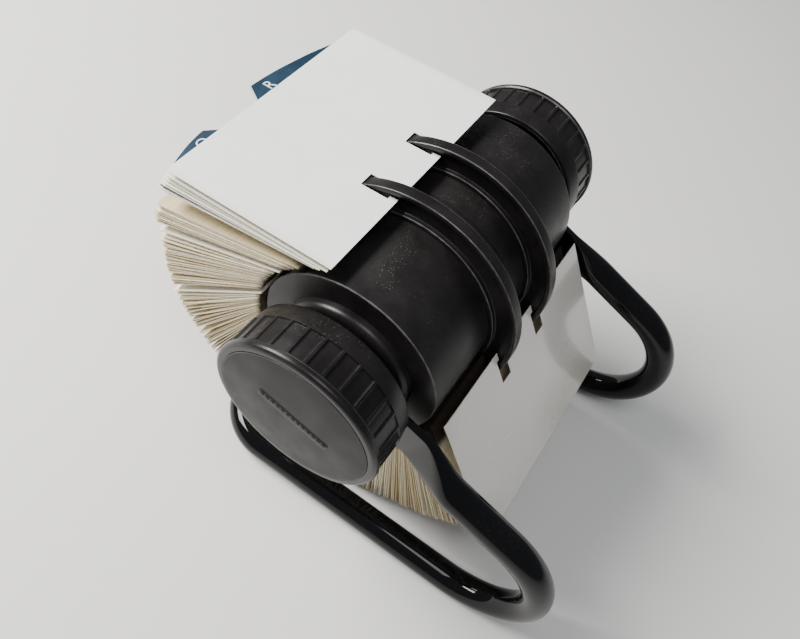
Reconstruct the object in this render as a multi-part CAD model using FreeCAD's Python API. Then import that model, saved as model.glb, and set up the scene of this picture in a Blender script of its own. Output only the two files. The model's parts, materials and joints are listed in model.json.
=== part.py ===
"""Rotary card file: cards hooked on a drum that turns between two knobs in a bent-tube stand.

Millimetres, +Z up, +X along the drum's axle, +Y to the rear crossbar. Every piece is modelled with
the axle on the X axis, then all are placed so that the origin is the middle of the footprint on the
table. The drum's pieces are round about the axle, so most are turned from an outline of
(x, radius) points.
"""
import FreeCAD, Part
import math
import os

V = FreeCAD.Vector
X_AXIS = V(1, 0, 0)
Z_AXIS = V(0, 0, 1)
CENTRE = V(0, 0, 0)

# ---- stand: one bent steel tube ----
TUBE_R = 6.0
TUBE_WALL = 1.2
SIDE_X = 60.4             # centre plane of each side
AXLE_HEIGHT = 95.2        # axle above the table
FRONT_BEND_R = 31.1
FRONT_BEND_REACH = 67.2   # centre of the front bend, ahead of the axle
REAR_BAR_REACH = 48.3     # rear crossbar, behind the axle
REAR_BEND_R = 23.0
BLADE_THICKNESS = 3.0
BLADE_WIDTH = 17.0
BLADE_LENGTH = 36.0       # flat blade, from the axle
FLARE_LENGTH = 22.0       # from flat blade to full tube
BLADE_X = 56.6            # centre plane of the blades
DRAIN_HOLE_R = 1.5

# ---- axle and bearings ----
SHAFT_R = 3.0
SHAFT_CHAMFER = 0.4
SHAFT_PROUD = 0.1          # beyond each nut
PRESS_GAP = 0.02          # radial, between pieces fixed to each other
RUN_GAP = 0.05            # radial, where the drum turns in its bushes
FACE_GAP = 0.1            # along the axle, between faces that slide past each other
JOURNAL_R = 4.5           # collar's journal, which turns in the bush
BUSH_WALL = 1.5
BUSH_FLANGE_R = 8.0
BUSH_FLANGE_T = 0.8
SPRING_WASHER_T = 0.7
SPRING_WASHER_R = 8.0

# ---- drum ----
DRUM_R = 34.3
DRUM_HALF_LENGTH = 50.0
DRUM_WALL = 2.2
DRUM_EDGE_R = 0.8
HUB_R = 7.0
HUB_LENGTH = 14.0
RIB_COUNT = 6
RIB_T = 1.6
RIB_LENGTH = 9.0
LAP_LENGTH = 3.0
COLLAR_R = 25.0
COLLAR_T = 4.0
COLLAR_EDGE_R = 2.6
COLLAR_BOSS_R = 7.5

# ---- card rails: T-section rings ----
RAIL_X = 13.2             # each side of the drum's middle
RAIL_R = 44.5
RAIL_HEAD_W = 4.8
RAIL_HEAD_T = 1.9
RAIL_WEB_W = 1.8
RAIL_FOOT_W = 5.6
RAIL_FOOT_T = 1.65
RAIL_EDGE_R = 0.5

# ---- knobs ----
# inner face of the knob's hub, one spring washer out from the blade
KNOB_INNER_X = BLADE_X + BLADE_THICKNESS / 2 + FACE_GAP + SPRING_WASHER_T
KNOB_OUTER_X = 79.5
KNOB_RIM_R = 31.2
KNOB_GRIP_R = 30.7
KNOB_SKIRT_R = 29.8
KNOB_WALL = 2.2
KNOB_HUB_R = 8.5
GRIP_START_X = 65.7
GRIP_END_X = 76.3
FLUTE_COUNT = 30
FLUTE_LAND = 1.2          # land between two flutes, round the rim
FLUTE_DEPTH = 0.6
KNOB_EDGE_R = 1.6
CAP_R = 28.0
CAP_T = 1.5
CAP_PROUD = 0.1
WELL_R = 12.0             # recess for the nut, under the cap
WELL_DEPTH = 4.8
WEB_T = 3.0
BAR_LENGTH = 28.0         # plain raised bar across the cap
BAR_WIDTH = 3.8
BAR_HEIGHT = 0.5
BAR_SLOPE = 15.4          # degrees, rising to the rear
WASHER_R = 6.0
WASHER_T = 0.8
NUT_FLATS = 10.0
NUT_T = 3.6

# ---- cards ----
CARD_WIDTH = 101.6
CARD_HEIGHT = 57.15
TALL_CARD_HEIGHT = 63.5
CARD_T = 0.3
GUIDE_T = 0.4
GUIDE_HEIGHT = 62.4       # lettered guide, without its tab
TAB_HEIGHT = 7.8          # guide tab's peak, beyond the guide's long edge
TAB_BULGE = 1.6           # how far the tab's long arc stands out from its chord
FILED_CARD_T = 0.25
CARD_FOOT_R = 35.6        # packed cards' lower edges
GUIDE_FOOT_R = 38.6       # lower edges of the two lettered guides
GUIDE_RAISE = 0.7         # plain guides stand this much higher than the cards they part
PIVOT_R = 40.6            # where a loose card swings on the rails
PIVOT_HEIGHT = 1.5        # pivot, above the loose card's lower edge
NECK_GAP = 0.5            # each side of the rail's web
EYE_GAP = 0.6             # each side of the rail's head
NECK_HEIGHT = 3.0
EYE_HEIGHT = 16.0         # top of the notch, above the card's lower edge
LOOSE_EYE_HEIGHT = 13.4   # the same on the loose cards, which stand higher on the rails
RAIL_CLEARANCE = 0.4      # pack grooves round the rails
CARD_CORNER_R = 2.0

# Lean of the hanging cards: (place of the lower edge, direction of the card), both in degrees
# from the rear horizontal about the axle, upwards positive.
LEAN = ((54, -14), (41, -19), (34, -24), (28, -28.5), (13, -37), (0, -46), (-12, -60), (-25, -72),
        (-45, -80), (-90, -90), (-130, -97), (-146, -110), (-153, -117), (-168, -120.5))
# Packs of cards: first and last place on the drum, in degrees, and the cards' height.
PACKS = {
    "card_pack_top": (54, 41, 60.5),
    "card_pack_rear": (34, 9, CARD_HEIGHT),
    "card_pack_lower_rear": (5, -22, CARD_HEIGHT),
    "card_pack_under": (-26, -101, CARD_HEIGHT),
    "card_pack_front": (-105, -168, CARD_HEIGHT),
}
INDEX_GUIDE_PLACES = (37.5, 7, -24, -103)
# Cards filed by the lettered guides: (place, lean).
FILED_CARDS = ((70.7, -4.2), (68.4, -6.2), (63.8, -9.6))
TOP_CARD_PLACE = 72.5
TOP_CARD_LEAN = -3.0
FRONT_CARD_PLACE = -174.0
FRONT_CARD_LEAN = -122.0
# Each tab: where its arc meets the guide's edge, its peak, and the foot of its slanted end.
GUIDE_R_PLACE = 73.0
GUIDE_R_LEAN = -2.2
GUIDE_R_TAB = (42.0, -1.5, -6.5)
GUIDE_Q_PLACE = 66.0
GUIDE_Q_LEAN = -8.2
GUIDE_Q_TAB = (-49.5, -22.0, -15.0)


# ---- helpers ----
def ring(x0, x1, r0, r1):
    """A ring about the axle from x0 to x1, between two radii."""
    outer = Part.makeCylinder(r1, x1 - x0, V(x0, 0, 0), X_AXIS)
    if r0 <= 0:
        return outer
    over = 1.0
    inner = Part.makeCylinder(r0, x1 - x0 + 2 * over, V(x0 - over, 0, 0), X_AXIS)
    return outer.cut(inner)


def turned(outline):
    """A solid turned about the axle from an outline of (x, radius) points."""
    points = [V(x, 0, r) for x, r in outline]
    face = Part.Face(Part.makePolygon(points + points[:1]))
    return face.revolve(CENTRE, X_AXIS, 360)


def mirrored(shape):
    """The left-hand copy of a right-hand piece."""
    return shape.mirror(CENTRE, X_AXIS)


def polar(radius, degrees):
    """The (y, z) place at a radius and angle about the axle."""
    angle = math.radians(degrees)
    return radius * math.cos(angle), radius * math.sin(angle)


# ---- stand ----
def strut_angle():
    """Slope of the strut, which runs from the axle to touch the front bend."""
    drop = AXLE_HEIGHT - TUBE_R - FRONT_BEND_R
    distance = math.hypot(FRONT_BEND_REACH, drop)
    return math.atan2(drop, FRONT_BEND_REACH) - math.asin(FRONT_BEND_R / distance)


def on_strut(x, distance):
    """A point on the strut's centre line, that far from the axle."""
    slope = strut_angle()
    return V(x, -distance * math.cos(slope), -distance * math.sin(slope))


def tube_path():
    """Centre line of the round tube, from one flare round the stand to the other."""
    slope = strut_angle()
    floor_z = TUBE_R - AXLE_HEIGHT
    bend_z = floor_z + FRONT_BEND_R
    bend_y = -FRONT_BEND_REACH
    start = BLADE_LENGTH + FLARE_LENGTH

    def side(x):
        upper = V(x, bend_y - FRONT_BEND_R * math.sin(slope), bend_z + FRONT_BEND_R * math.cos(slope))
        half = (slope + math.pi) / 2
        middle = V(x, bend_y - FRONT_BEND_R * math.sin(half), bend_z + FRONT_BEND_R * math.cos(half))
        lower = V(x, bend_y, floor_z)
        corner = V(x, REAR_BAR_REACH - REAR_BEND_R, floor_z)
        return [Part.LineSegment(on_strut(x, start), upper), Part.Arc(upper, middle, lower),
                Part.LineSegment(lower, corner)]

    def corner(sign):
        x = sign * (SIDE_X - REAR_BEND_R)
        y = REAR_BAR_REACH - REAR_BEND_R
        reach = REAR_BEND_R * math.sin(math.pi / 4)
        return Part.Arc(V(sign * SIDE_X, y, floor_z), V(x + sign * reach, y + reach, floor_z),
                        V(x, REAR_BAR_REACH, floor_z))

    bar_end = SIDE_X - REAR_BEND_R
    bar = Part.LineSegment(V(-bar_end, REAR_BAR_REACH, floor_z), V(bar_end, REAR_BAR_REACH, floor_z))
    curves = side(-SIDE_X) + [corner(-1), bar, corner(1)] + side(SIDE_X)
    return Part.Wire(Part.__sortEdges__([curve.toShape() for curve in curves]))


def tube(radius):
    """A round rod along the stand's centre line."""
    path = tube_path()
    start = on_strut(-SIDE_X, BLADE_LENGTH + FLARE_LENGTH)
    along = start - on_strut(-SIDE_X, 0)
    section = Part.Wire(Part.Circle(start, along, radius).toShape())
    return path.makePipeShell([section], True, False)


def flat_section(x, distance, half_width, half_thickness, corner):
    """A rounded four-sided section across the strut; corner is each end arc's half angle."""
    slope = strut_angle()
    across = V(0, math.sin(slope), -math.cos(slope))
    centre = on_strut(x, distance)

    def at(w, t):
        return centre + across * w + X_AXIS * t

    end_w = half_thickness / math.tan(corner) if corner < math.pi / 2 else 0
    flat_w = half_width - half_thickness if corner == math.pi / 2 else end_w
    bulge = half_thickness if corner == math.pi / 2 else math.hypot(half_thickness, end_w)
    edge_t = half_thickness
    corners = [at(flat_w, -edge_t), at(flat_w, edge_t), at(-flat_w, edge_t), at(-flat_w, -edge_t)]
    edges = [Part.Arc(corners[0], at(half_width, 0), corners[1])]
    if corner == math.pi / 2:
        edges.append(Part.LineSegment(corners[1], corners[2]))
    else:
        edges.append(Part.Arc(corners[1], at(0, bulge), corners[2]))
    edges.append(Part.Arc(corners[2], at(-half_width, 0), corners[3]))
    if corner == math.pi / 2:
        edges.append(Part.LineSegment(corners[3], corners[0]))
    else:
        edges.append(Part.Arc(corners[3], at(0, -bulge), corners[0]))
    return Part.Wire([edge.toShape() for edge in edges])


def flattened_end():
    """The right-hand end of the tube: a flare from the round, and a blade with a round eyed end."""
    slope = strut_angle()
    quarter = math.pi / 4
    round_t = TUBE_R * math.sin(quarter)
    round_end = flat_section(SIDE_X, BLADE_LENGTH + FLARE_LENGTH, TUBE_R, round_t, quarter)
    flat_end = flat_section(BLADE_X, BLADE_LENGTH, BLADE_WIDTH / 2, BLADE_THICKNESS / 2, math.pi / 2)
    flare = Part.makeLoft([round_end, flat_end], True, True)
    blade = Part.Face(flat_end).extrude(on_strut(0, 0) - on_strut(0, BLADE_LENGTH))
    inner_x = BLADE_X - BLADE_THICKNESS / 2
    eye = ring(inner_x, inner_x + BLADE_THICKNESS, 0, BLADE_WIDTH / 2)
    end = flare.fuse([blade, eye])
    hole_r = JOURNAL_R + RUN_GAP + BUSH_WALL + PRESS_GAP
    return end.cut(ring(inner_x - 1, inner_x + BLADE_THICKNESS + 1, 0, hole_r))


def base_tube():
    """The whole stand: a hollow tube with flattened eyed ends and a drain hole under its crossbar."""
    hollow = tube(TUBE_R).cut(tube(TUBE_R - TUBE_WALL))
    right = flattened_end()
    stand = hollow.fuse([right, mirrored(right)])
    drain = Part.makeCylinder(DRAIN_HOLE_R, 2 * TUBE_WALL, V(0, REAR_BAR_REACH, -AXLE_HEIGHT - TUBE_WALL / 2),
                              Z_AXIS)
    return stand.cut(drain)


def bearing_bush():
    """Right-hand flanged bush, pressed into the blade's eye from the drum's side."""
    inner_x = BLADE_X - BLADE_THICKNESS / 2
    bore = JOURNAL_R + RUN_GAP
    sleeve = ring(inner_x - BUSH_FLANGE_T, inner_x + BLADE_THICKNESS, bore, bore + BUSH_WALL)
    return sleeve.fuse(ring(inner_x - BUSH_FLANGE_T, inner_x, bore, BUSH_FLANGE_R))


# ---- drum ----
def drum_half(tongue):
    """Right-hand drum half, with the lap's tongue or its rebate."""
    inner_r = DRUM_R - DRUM_WALL
    end_x = DRUM_HALF_LENGTH
    bore = SHAFT_R + PRESS_GAP
    body = ring(0, end_x, 0, DRUM_R)
    rim = [edge for edge in body.Edges if abs(edge.CenterOfMass.x - end_x) < 0.01]
    body = body.makeFillet(DRUM_EDGE_R, rim)
    body = body.cut(ring(-1, end_x - DRUM_WALL, 0, inner_r))
    hub = ring(end_x - DRUM_WALL - HUB_LENGTH, end_x - DRUM_WALL, 0, HUB_R)
    ribs = []
    for number in range(RIB_COUNT):
        rib = Part.makeBox(RIB_LENGTH, RIB_T, inner_r - HUB_R + 1.5)
        rib.translate(V(end_x - DRUM_WALL - RIB_LENGTH, -RIB_T / 2, HUB_R - 0.75))
        rib.rotate(CENTRE, X_AXIS, number * 360 / RIB_COUNT)
        ribs.append(rib)
    body = body.fuse([hub] + ribs)
    body = body.cut(ring(0, end_x + 1, 0, bore))
    lap_r = inner_r + DRUM_WALL / 2
    if tongue:
        return body.fuse(ring(-LAP_LENGTH, 0.5, inner_r, lap_r - PRESS_GAP))
    return body.cut(ring(-1, LAP_LENGTH + FACE_GAP, 0, lap_r))


def rail_outline(gap):
    """T-section of a card rail about x = 0, grown by a gap all round, as (x, radius) points."""
    head = RAIL_HEAD_W / 2 + gap
    web = RAIL_WEB_W / 2 + gap
    foot = RAIL_FOOT_W / 2 + gap
    foot_r = DRUM_R + PRESS_GAP + RAIL_FOOT_T + gap
    under_r = RAIL_R - RAIL_HEAD_T - gap
    base_r = DRUM_R + PRESS_GAP - gap
    right = [(foot, base_r), (foot, foot_r), (web, foot_r), (web, under_r), (head, under_r),
             (head, RAIL_R + gap)]
    return right + [(-x, r) for x, r in reversed(right)]


def card_rail():
    """Right-hand rail."""
    rail = turned([(x + RAIL_X, r) for x, r in rail_outline(0)])
    top = [edge for edge in rail.Edges if edge.Closed and abs(edge.BoundBox.ZMax - RAIL_R) < 0.01]
    return rail.makeFillet(RAIL_EDGE_R, top)


def rail_cutter():
    """Both rails' grooves, to cut from a pack of cards."""
    grooves = [turned([(x + side * RAIL_X, r) for x, r in rail_outline(RAIL_CLEARANCE)]) for side in (-1, 1)]
    return grooves[0].fuse(grooves[1])


def end_collar():
    """Right-hand collar on the drum's end, with the journal that turns in the bush."""
    disc_end = DRUM_HALF_LENGTH + COLLAR_T
    boss_end = BLADE_X - BLADE_THICKNESS / 2 - BUSH_FLANGE_T - FACE_GAP
    disc = ring(DRUM_HALF_LENGTH, disc_end, 0, COLLAR_R)
    rim = [edge for edge in disc.Edges if edge.Closed and abs(edge.CenterOfMass.x - disc_end) < 0.01]
    disc = disc.makeFillet(COLLAR_EDGE_R, rim)
    collar = disc.fuse([ring(disc_end - 0.5, boss_end, 0, COLLAR_BOSS_R),
                        ring(boss_end - 0.5, KNOB_INNER_X, 0, JOURNAL_R)])
    return collar.cut(ring(DRUM_HALF_LENGTH - 1, KNOB_INNER_X + 1, 0, SHAFT_R + PRESS_GAP))


def friction_washer():
    """Right-hand spring washer between the stand's blade and the knob's hub."""
    outer = KNOB_INNER_X
    return ring(outer - SPRING_WASHER_T, outer, JOURNAL_R + PRESS_GAP, SPRING_WASHER_R)


def nut_face_x():
    """Floor of the well, where the washer and nut sit."""
    return KNOB_OUTER_X - CAP_T + CAP_PROUD - WELL_DEPTH


def drum_shaft():
    """The plain steel shaft through drum, collars and knobs."""
    end = nut_face_x() + WASHER_T + NUT_T + SHAFT_PROUD
    shaft = ring(-end, end, 0, SHAFT_R)
    rims = [edge for edge in shaft.Edges if edge.Closed]
    return shaft.makeChamfer(SHAFT_CHAMFER, rims)


# ---- knobs ----
def knob():
    """Right-hand knob: a fluted cup with a hub, a ledge for its cap and a well for its nut."""
    face = KNOB_OUTER_X
    ledge = face - CAP_T + CAP_PROUD
    edge = KNOB_EDGE_R
    rim = KNOB_RIM_R
    outline = [(KNOB_INNER_X, 0), (KNOB_INNER_X, KNOB_SKIRT_R), (GRIP_START_X - 0.8, KNOB_GRIP_R),
               (GRIP_END_X, KNOB_GRIP_R), (GRIP_END_X + 0.5, rim)]
    for step in range(6):
        angle = math.pi / 2 * (1 - step / 5)
        outline.append((face - edge + edge * math.cos(angle), rim - edge + edge * math.sin(angle)))
    outline.append((face, 0))
    body = turned(outline)
    well_floor = nut_face_x()
    web_x = well_floor - WEB_T
    body = body.cut(ring(KNOB_INNER_X - 1, web_x, KNOB_HUB_R, KNOB_SKIRT_R - KNOB_WALL))
    deep = ring(web_x - 1, ledge - KNOB_WALL, WELL_R + KNOB_WALL, KNOB_SKIRT_R - KNOB_WALL)
    body = body.cut([deep, ring(ledge, face + 1, 0, CAP_R + PRESS_GAP), ring(well_floor, face, 0, WELL_R),
                     ring(KNOB_INNER_X - 1, face, 0, SHAFT_R + PRESS_GAP)])
    return body.cut(flutes())


def flutes():
    """The shallow flutes round the knob's grip."""
    pitch = 2 * math.pi * KNOB_GRIP_R / FLUTE_COUNT
    cutters = []
    for number in range(FLUTE_COUNT):
        cutter = Part.makeBox(GRIP_END_X - GRIP_START_X, pitch - FLUTE_LAND, FLUTE_DEPTH + 2)
        cutter.translate(V(GRIP_START_X, -(pitch - FLUTE_LAND) / 2, KNOB_GRIP_R - FLUTE_DEPTH))
        cutter.rotate(CENTRE, X_AXIS, number * 360 / FLUTE_COUNT)
        cutters.append(cutter)
    return cutters


def knob_cap():
    """Right-hand face disc, with a plain raised bar across it."""
    inner = KNOB_OUTER_X - CAP_T + CAP_PROUD
    outer = inner + CAP_T
    disc = ring(inner, outer, 0, CAP_R)
    root = CAP_T / 2
    bar = Part.makeBox(root + BAR_HEIGHT, BAR_LENGTH, BAR_WIDTH)
    corners = [edge for edge in bar.Edges if edge.Length < root + BAR_HEIGHT + 0.01]
    bar = bar.makeFillet(BAR_WIDTH / 4, corners)
    bar.translate(V(outer - root, -BAR_LENGTH / 2, -BAR_WIDTH / 2))
    bar.rotate(CENTRE, X_AXIS, BAR_SLOPE)
    return disc.fuse(bar)


def knob_washer():
    """Right-hand plain washer in the knob's well."""
    start = nut_face_x()
    return ring(start, start + WASHER_T, SHAFT_R + PRESS_GAP, WASHER_R)


def knob_nut():
    """Right-hand hexagon nut on the shaft's end."""
    start = nut_face_x() + WASHER_T
    corner_r = NUT_FLATS / 2 / math.cos(math.pi / 6)
    points = []
    for number in range(6):
        y, z = polar(corner_r, 60 * number)
        points.append(V(start, y, z))
    prism = Part.Face(Part.makePolygon(points + points[:1])).extrude(V(NUT_T, 0, 0))
    chamfer = turned([(start, 0), (start, corner_r + 1), (start + NUT_T - 0.9, corner_r + 0.15),
                      (start + NUT_T, NUT_FLATS / 2), (start + NUT_T, 0)])
    return prism.common(chamfer).cut(ring(start - 1, start + NUT_T + 1, 0, SHAFT_R + PRESS_GAP))


# ---- cards ----
def lean(place):
    """Direction of a hanging card, in degrees, for the place of its lower edge."""
    for (first, lean_first), (last, lean_last) in zip(LEAN, LEAN[1:]):
        if place >= last:
            share = (first - place) / (first - last)
            return lean_first + share * (lean_last - lean_first)
    return LEAN[-1][1]


def card_line(place, direction, foot_r, height):
    """Lower and upper (y, z) ends of a card seen from its side."""
    foot = polar(foot_r, place)
    along = polar(height, direction)
    return foot, (foot[0] + along[0], foot[1] + along[1])


def card_pack(first, last, height, grooves):
    """A pack of cards, from its first card to its last, as one block with the rails' grooves."""
    steps = max(2, round((first - last) / 4))
    feet = []
    tips = []
    for step in range(steps + 1):
        place = first + (last - first) * step / steps
        foot, tip = card_line(place, lean(place), CARD_FOOT_R, height)
        feet.append(foot)
        tips.append(tip)
    loop = feet + tips[::-1]
    points = [V(-CARD_WIDTH / 2, y, z) for y, z in loop]
    block = Part.Face(Part.makePolygon(points + points[:1])).extrude(V(CARD_WIDTH, 0, 0))
    return block.cut(grooves)


def guide_tab(low_x, peak_x, end_x, height):
    """A guide's tab: a long arc from the guide's edge up to the peak, and a slanted end."""
    root = height - TAB_HEIGHT / 2
    low = V(low_x, 0, height)
    peak = V(peak_x, 0, height + TAB_HEIGHT)
    end = V(end_x, 0, height)
    chord = peak - low
    middle = (low + peak) * 0.5 + V(-chord.z, 0, chord.x).normalize() * math.copysign(TAB_BULGE, chord.x)
    arc = Part.Arc(low, middle, peak).toShape()
    sides = [Part.LineSegment(peak, end), Part.LineSegment(end, V(end_x, 0, root)),
             Part.LineSegment(V(end_x, 0, root), V(low_x, 0, root)), Part.LineSegment(V(low_x, 0, root), low)]
    wire = Part.Wire([arc] + [side.toShape() for side in sides])
    return Part.Face(wire).extrude(V(0, 1, 0))


def card_outline(height, tab, eye_height):
    """A card one millimetre thick, standing on its lower edge, with its notches and optional tab."""
    half = CARD_WIDTH / 2
    sheet = Part.makeBox(CARD_WIDTH, 1, height, V(-half, 0, 0))
    if tab:
        sheet = sheet.fuse(guide_tab(*tab, height))
    else:
        corners = [edge for edge in sheet.Edges
                   if abs(edge.CenterOfMass.z - height) < 0.01 and edge.Length < 1.01]
        sheet = sheet.makeFillet(CARD_CORNER_R, corners)
    neck = RAIL_WEB_W / 2 + NECK_GAP
    eye = RAIL_HEAD_W / 2 + EYE_GAP
    for side in (-1, 1):
        middle = side * RAIL_X
        sheet = sheet.cut([Part.makeBox(2 * neck, 1, NECK_HEIGHT + 1, V(middle - neck, 0, -1)),
                           Part.makeBox(2 * eye, 1, eye_height - NECK_HEIGHT, V(middle - eye, 0, NECK_HEIGHT))])
    return sheet


def single_card(place, direction, foot_r, thickness, height, tab=None, foot_drop=0.0, eye_height=EYE_HEIGHT):
    """One card with its notches, hooked on the rails at a place and turned to its direction."""
    sheet = card_outline(height, tab, eye_height)
    slab = Part.makeBox(2 * CARD_WIDTH, thickness, 3 * height, V(-CARD_WIDTH, 0, -height))
    sheet = sheet.common(slab)
    sheet.translate(V(0, -thickness / 2, -foot_drop))
    sheet.rotate(CENTRE, X_AXIS, direction - 90)
    y, z = polar(foot_r, place)
    sheet.translate(V(0, y, z))
    return sheet


def index_guides():
    """The plain index guides that stand between the packs."""
    guides = []
    for place in INDEX_GUIDE_PLACES:
        guides.append(single_card(place, lean(place), CARD_FOOT_R, GUIDE_T, CARD_HEIGHT, foot_drop=-GUIDE_RAISE))
    return Part.makeCompound(guides)


def filed_cards():
    """The cards filed between and under the lettered guides."""
    cards = []
    for place, direction in FILED_CARDS:
        cards.append(single_card(place, direction, GUIDE_FOOT_R, FILED_CARD_T, TALL_CARD_HEIGHT))
    return Part.makeCompound(cards)


def loose_card(place, direction):
    """A card that swings on the rails about its pivot."""
    return single_card(place, direction, PIVOT_R, CARD_T, TALL_CARD_HEIGHT, foot_drop=PIVOT_HEIGHT,
                       eye_height=LOOSE_EYE_HEIGHT)


def make_cards():
    """Every card node: packs, guides and the two loose cards."""
    grooves = rail_cutter()
    cards = {name: card_pack(*pack, grooves) for name, pack in PACKS.items()}
    cards["index_guides"] = index_guides()
    cards["filed_cards"] = filed_cards()
    cards["guide_card_r"] = single_card(GUIDE_R_PLACE, GUIDE_R_LEAN, GUIDE_FOOT_R, GUIDE_T, GUIDE_HEIGHT,
                                        GUIDE_R_TAB)
    cards["guide_card_q"] = single_card(GUIDE_Q_PLACE, GUIDE_Q_LEAN, GUIDE_FOOT_R, GUIDE_T, GUIDE_HEIGHT,
                                        GUIDE_Q_TAB)
    cards["top_card"] = loose_card(TOP_CARD_PLACE, TOP_CARD_LEAN)
    cards["front_card"] = loose_card(FRONT_CARD_PLACE, FRONT_CARD_LEAN)
    return cards


# ---- assembly ----
def make_nodes():
    """Every node by name, with the axle on the X axis."""
    nodes = {"base_tube": base_tube(), "drum_shaft": drum_shaft()}
    nodes["drum_half_right"] = drum_half(tongue=True)
    nodes["drum_half_left"] = mirrored(drum_half(tongue=False))
    pairs = {
        "bearing_bush": bearing_bush,
        "card_rail": card_rail,
        "end_collar": end_collar,
        "friction_washer": friction_washer,
        "knob": knob,
        "knob_cap": knob_cap,
        "knob_washer": knob_washer,
        "knob_nut": knob_nut,
    }
    for name, make in pairs.items():
        right = make()
        nodes[name + "_right"] = right
        nodes[name + "_left"] = mirrored(right)
    nodes.update(make_cards())
    return nodes


def place_and_export(nodes):
    """Put the origin at the middle of the footprint on the table, and write one STEP file a node."""
    box = Part.makeCompound(list(nodes.values())).optimalBoundingBox(False)
    shift = V(-(box.XMin + box.XMax) / 2, -(box.YMin + box.YMax) / 2, AXLE_HEIGHT)
    os.makedirs("parts", exist_ok=True)
    for name, shape in nodes.items():
        placed = shape.translated(shift)
        placed.exportStep("parts/" + name + ".step")
    print("axle at y %.3f z %.3f" % (shift.y, shift.z))
    for name, place in {"top_card": TOP_CARD_PLACE, "front_card": FRONT_CARD_PLACE}.items():
        y, z = polar(PIVOT_R, place)
        print("%s pivot at y %.3f z %.3f" % (name, y + shift.y, z + shift.z))


place_and_export(make_nodes())
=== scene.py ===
"""Rotary card file: looks for a drum of cards that turns between two knobs in a bent-tube stand.

Metres, +Z up, +X along the axle. Each operator builds one piece, or one group of like pieces,
around the packed frame. Round pieces are turned from (along, radius) outlines about the axle.
"""
import json
import math
import random

import bmesh
import bpy
from bpy.props import FloatProperty, FloatVectorProperty, IntProperty, PointerProperty
from mathutils import Matrix, Vector


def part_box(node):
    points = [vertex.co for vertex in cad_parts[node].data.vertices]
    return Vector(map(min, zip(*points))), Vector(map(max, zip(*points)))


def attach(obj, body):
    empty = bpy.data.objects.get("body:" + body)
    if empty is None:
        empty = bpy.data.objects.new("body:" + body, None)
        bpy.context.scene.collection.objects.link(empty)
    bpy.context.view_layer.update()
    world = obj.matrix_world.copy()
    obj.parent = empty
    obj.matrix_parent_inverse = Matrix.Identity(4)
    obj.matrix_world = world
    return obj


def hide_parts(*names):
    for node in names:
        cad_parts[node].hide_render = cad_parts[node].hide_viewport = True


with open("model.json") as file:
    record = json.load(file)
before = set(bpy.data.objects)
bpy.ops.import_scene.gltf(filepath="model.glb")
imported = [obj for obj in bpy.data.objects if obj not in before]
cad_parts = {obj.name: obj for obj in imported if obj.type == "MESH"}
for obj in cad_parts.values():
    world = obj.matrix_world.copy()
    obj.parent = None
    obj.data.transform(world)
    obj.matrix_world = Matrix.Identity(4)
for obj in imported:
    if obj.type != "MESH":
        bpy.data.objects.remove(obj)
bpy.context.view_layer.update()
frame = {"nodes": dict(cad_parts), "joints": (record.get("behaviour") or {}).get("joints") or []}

bl_info = {
    "name": "Rotary Card File",
    "version": (1, 0, 0),
    "blender": (4, 5, 0),
    "location": "3D View > Sidebar > Card File",
    "description": "Builds a rotary card file round its packed frame",
    "category": "Add Mesh",
}

MM = 0.001

# ---- places and sizes that come from the frame ----
def joint_place(name):
    """Where a joint is."""
    return Vector(next(joint for joint in frame["joints"] if joint["name"] == name)["pos_m"])


def box_radius(node):
    """Largest radius of a round node about the axle."""
    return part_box(node)[1].z - AXLE.z


def box_along(node):
    """(inner, outer) place of a right-hand node along the axle."""
    low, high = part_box(node)
    return low.x, high.x


AXLE = joint_place("drum_turn")
DRUM_R = box_radius("drum_half_right")
DRUM_END = box_along("drum_half_right")[1]
RAIL_R = box_radius("card_rail_right")
RAIL_MIDDLE = sum(box_along("card_rail_right")) / 2
RAIL_FOOT_HALF = (box_along("card_rail_right")[1] - box_along("card_rail_right")[0]) / 2
COLLAR_R = box_radius("end_collar_right")
KNOB_R = box_radius("knob_right")
KNOB_INNER, KNOB_OUTER = box_along("knob_right")
CAP_INNER = box_along("knob_cap_right")[0]
CAP_R = box_radius("knob_cap_right")
STAND_LOW, STAND_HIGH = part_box("base_tube")
CARD_HALF = box_along("top_card")[1]
SHAFT_R = box_radius("drum_shaft")
COLLAR_OUTER = box_along("end_collar_right")[1]
BUSH_INNER = box_along("bearing_bush_right")[0]

# ---- fixed sizes of the turned pieces ----
PRESS_GAP = 0.02 * MM         # between pieces fixed to each other
FACE_GAP = 0.1 * MM           # between faces that slide past each other
COLLAR_THICKNESS = 4 * MM
BOSS_R = 7.5 * MM
JOURNAL_R = 4.5 * MM
KNOB_HUB_R = 8.5 * MM
KNOB_WEB = 3 * MM
WELL_R = 12 * MM              # recess for the nut, under the knob's face
WELL_DEPTH = 4.8 * MM
FLUTE_MARGIN = 0.25 * MM      # over which a flute's end rises
FLUTE_FLANK = 0.045           # share of the pitch over which its side rises
RIB_COUNT = 13                # plain ribs along the raised bar
DRUM_SEGMENTS = 192
RAIL_SEGMENTS = 224
COLLAR_SEGMENTS = 160
FLUTE_SEGMENTS = 18           # in one flute and its land

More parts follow.
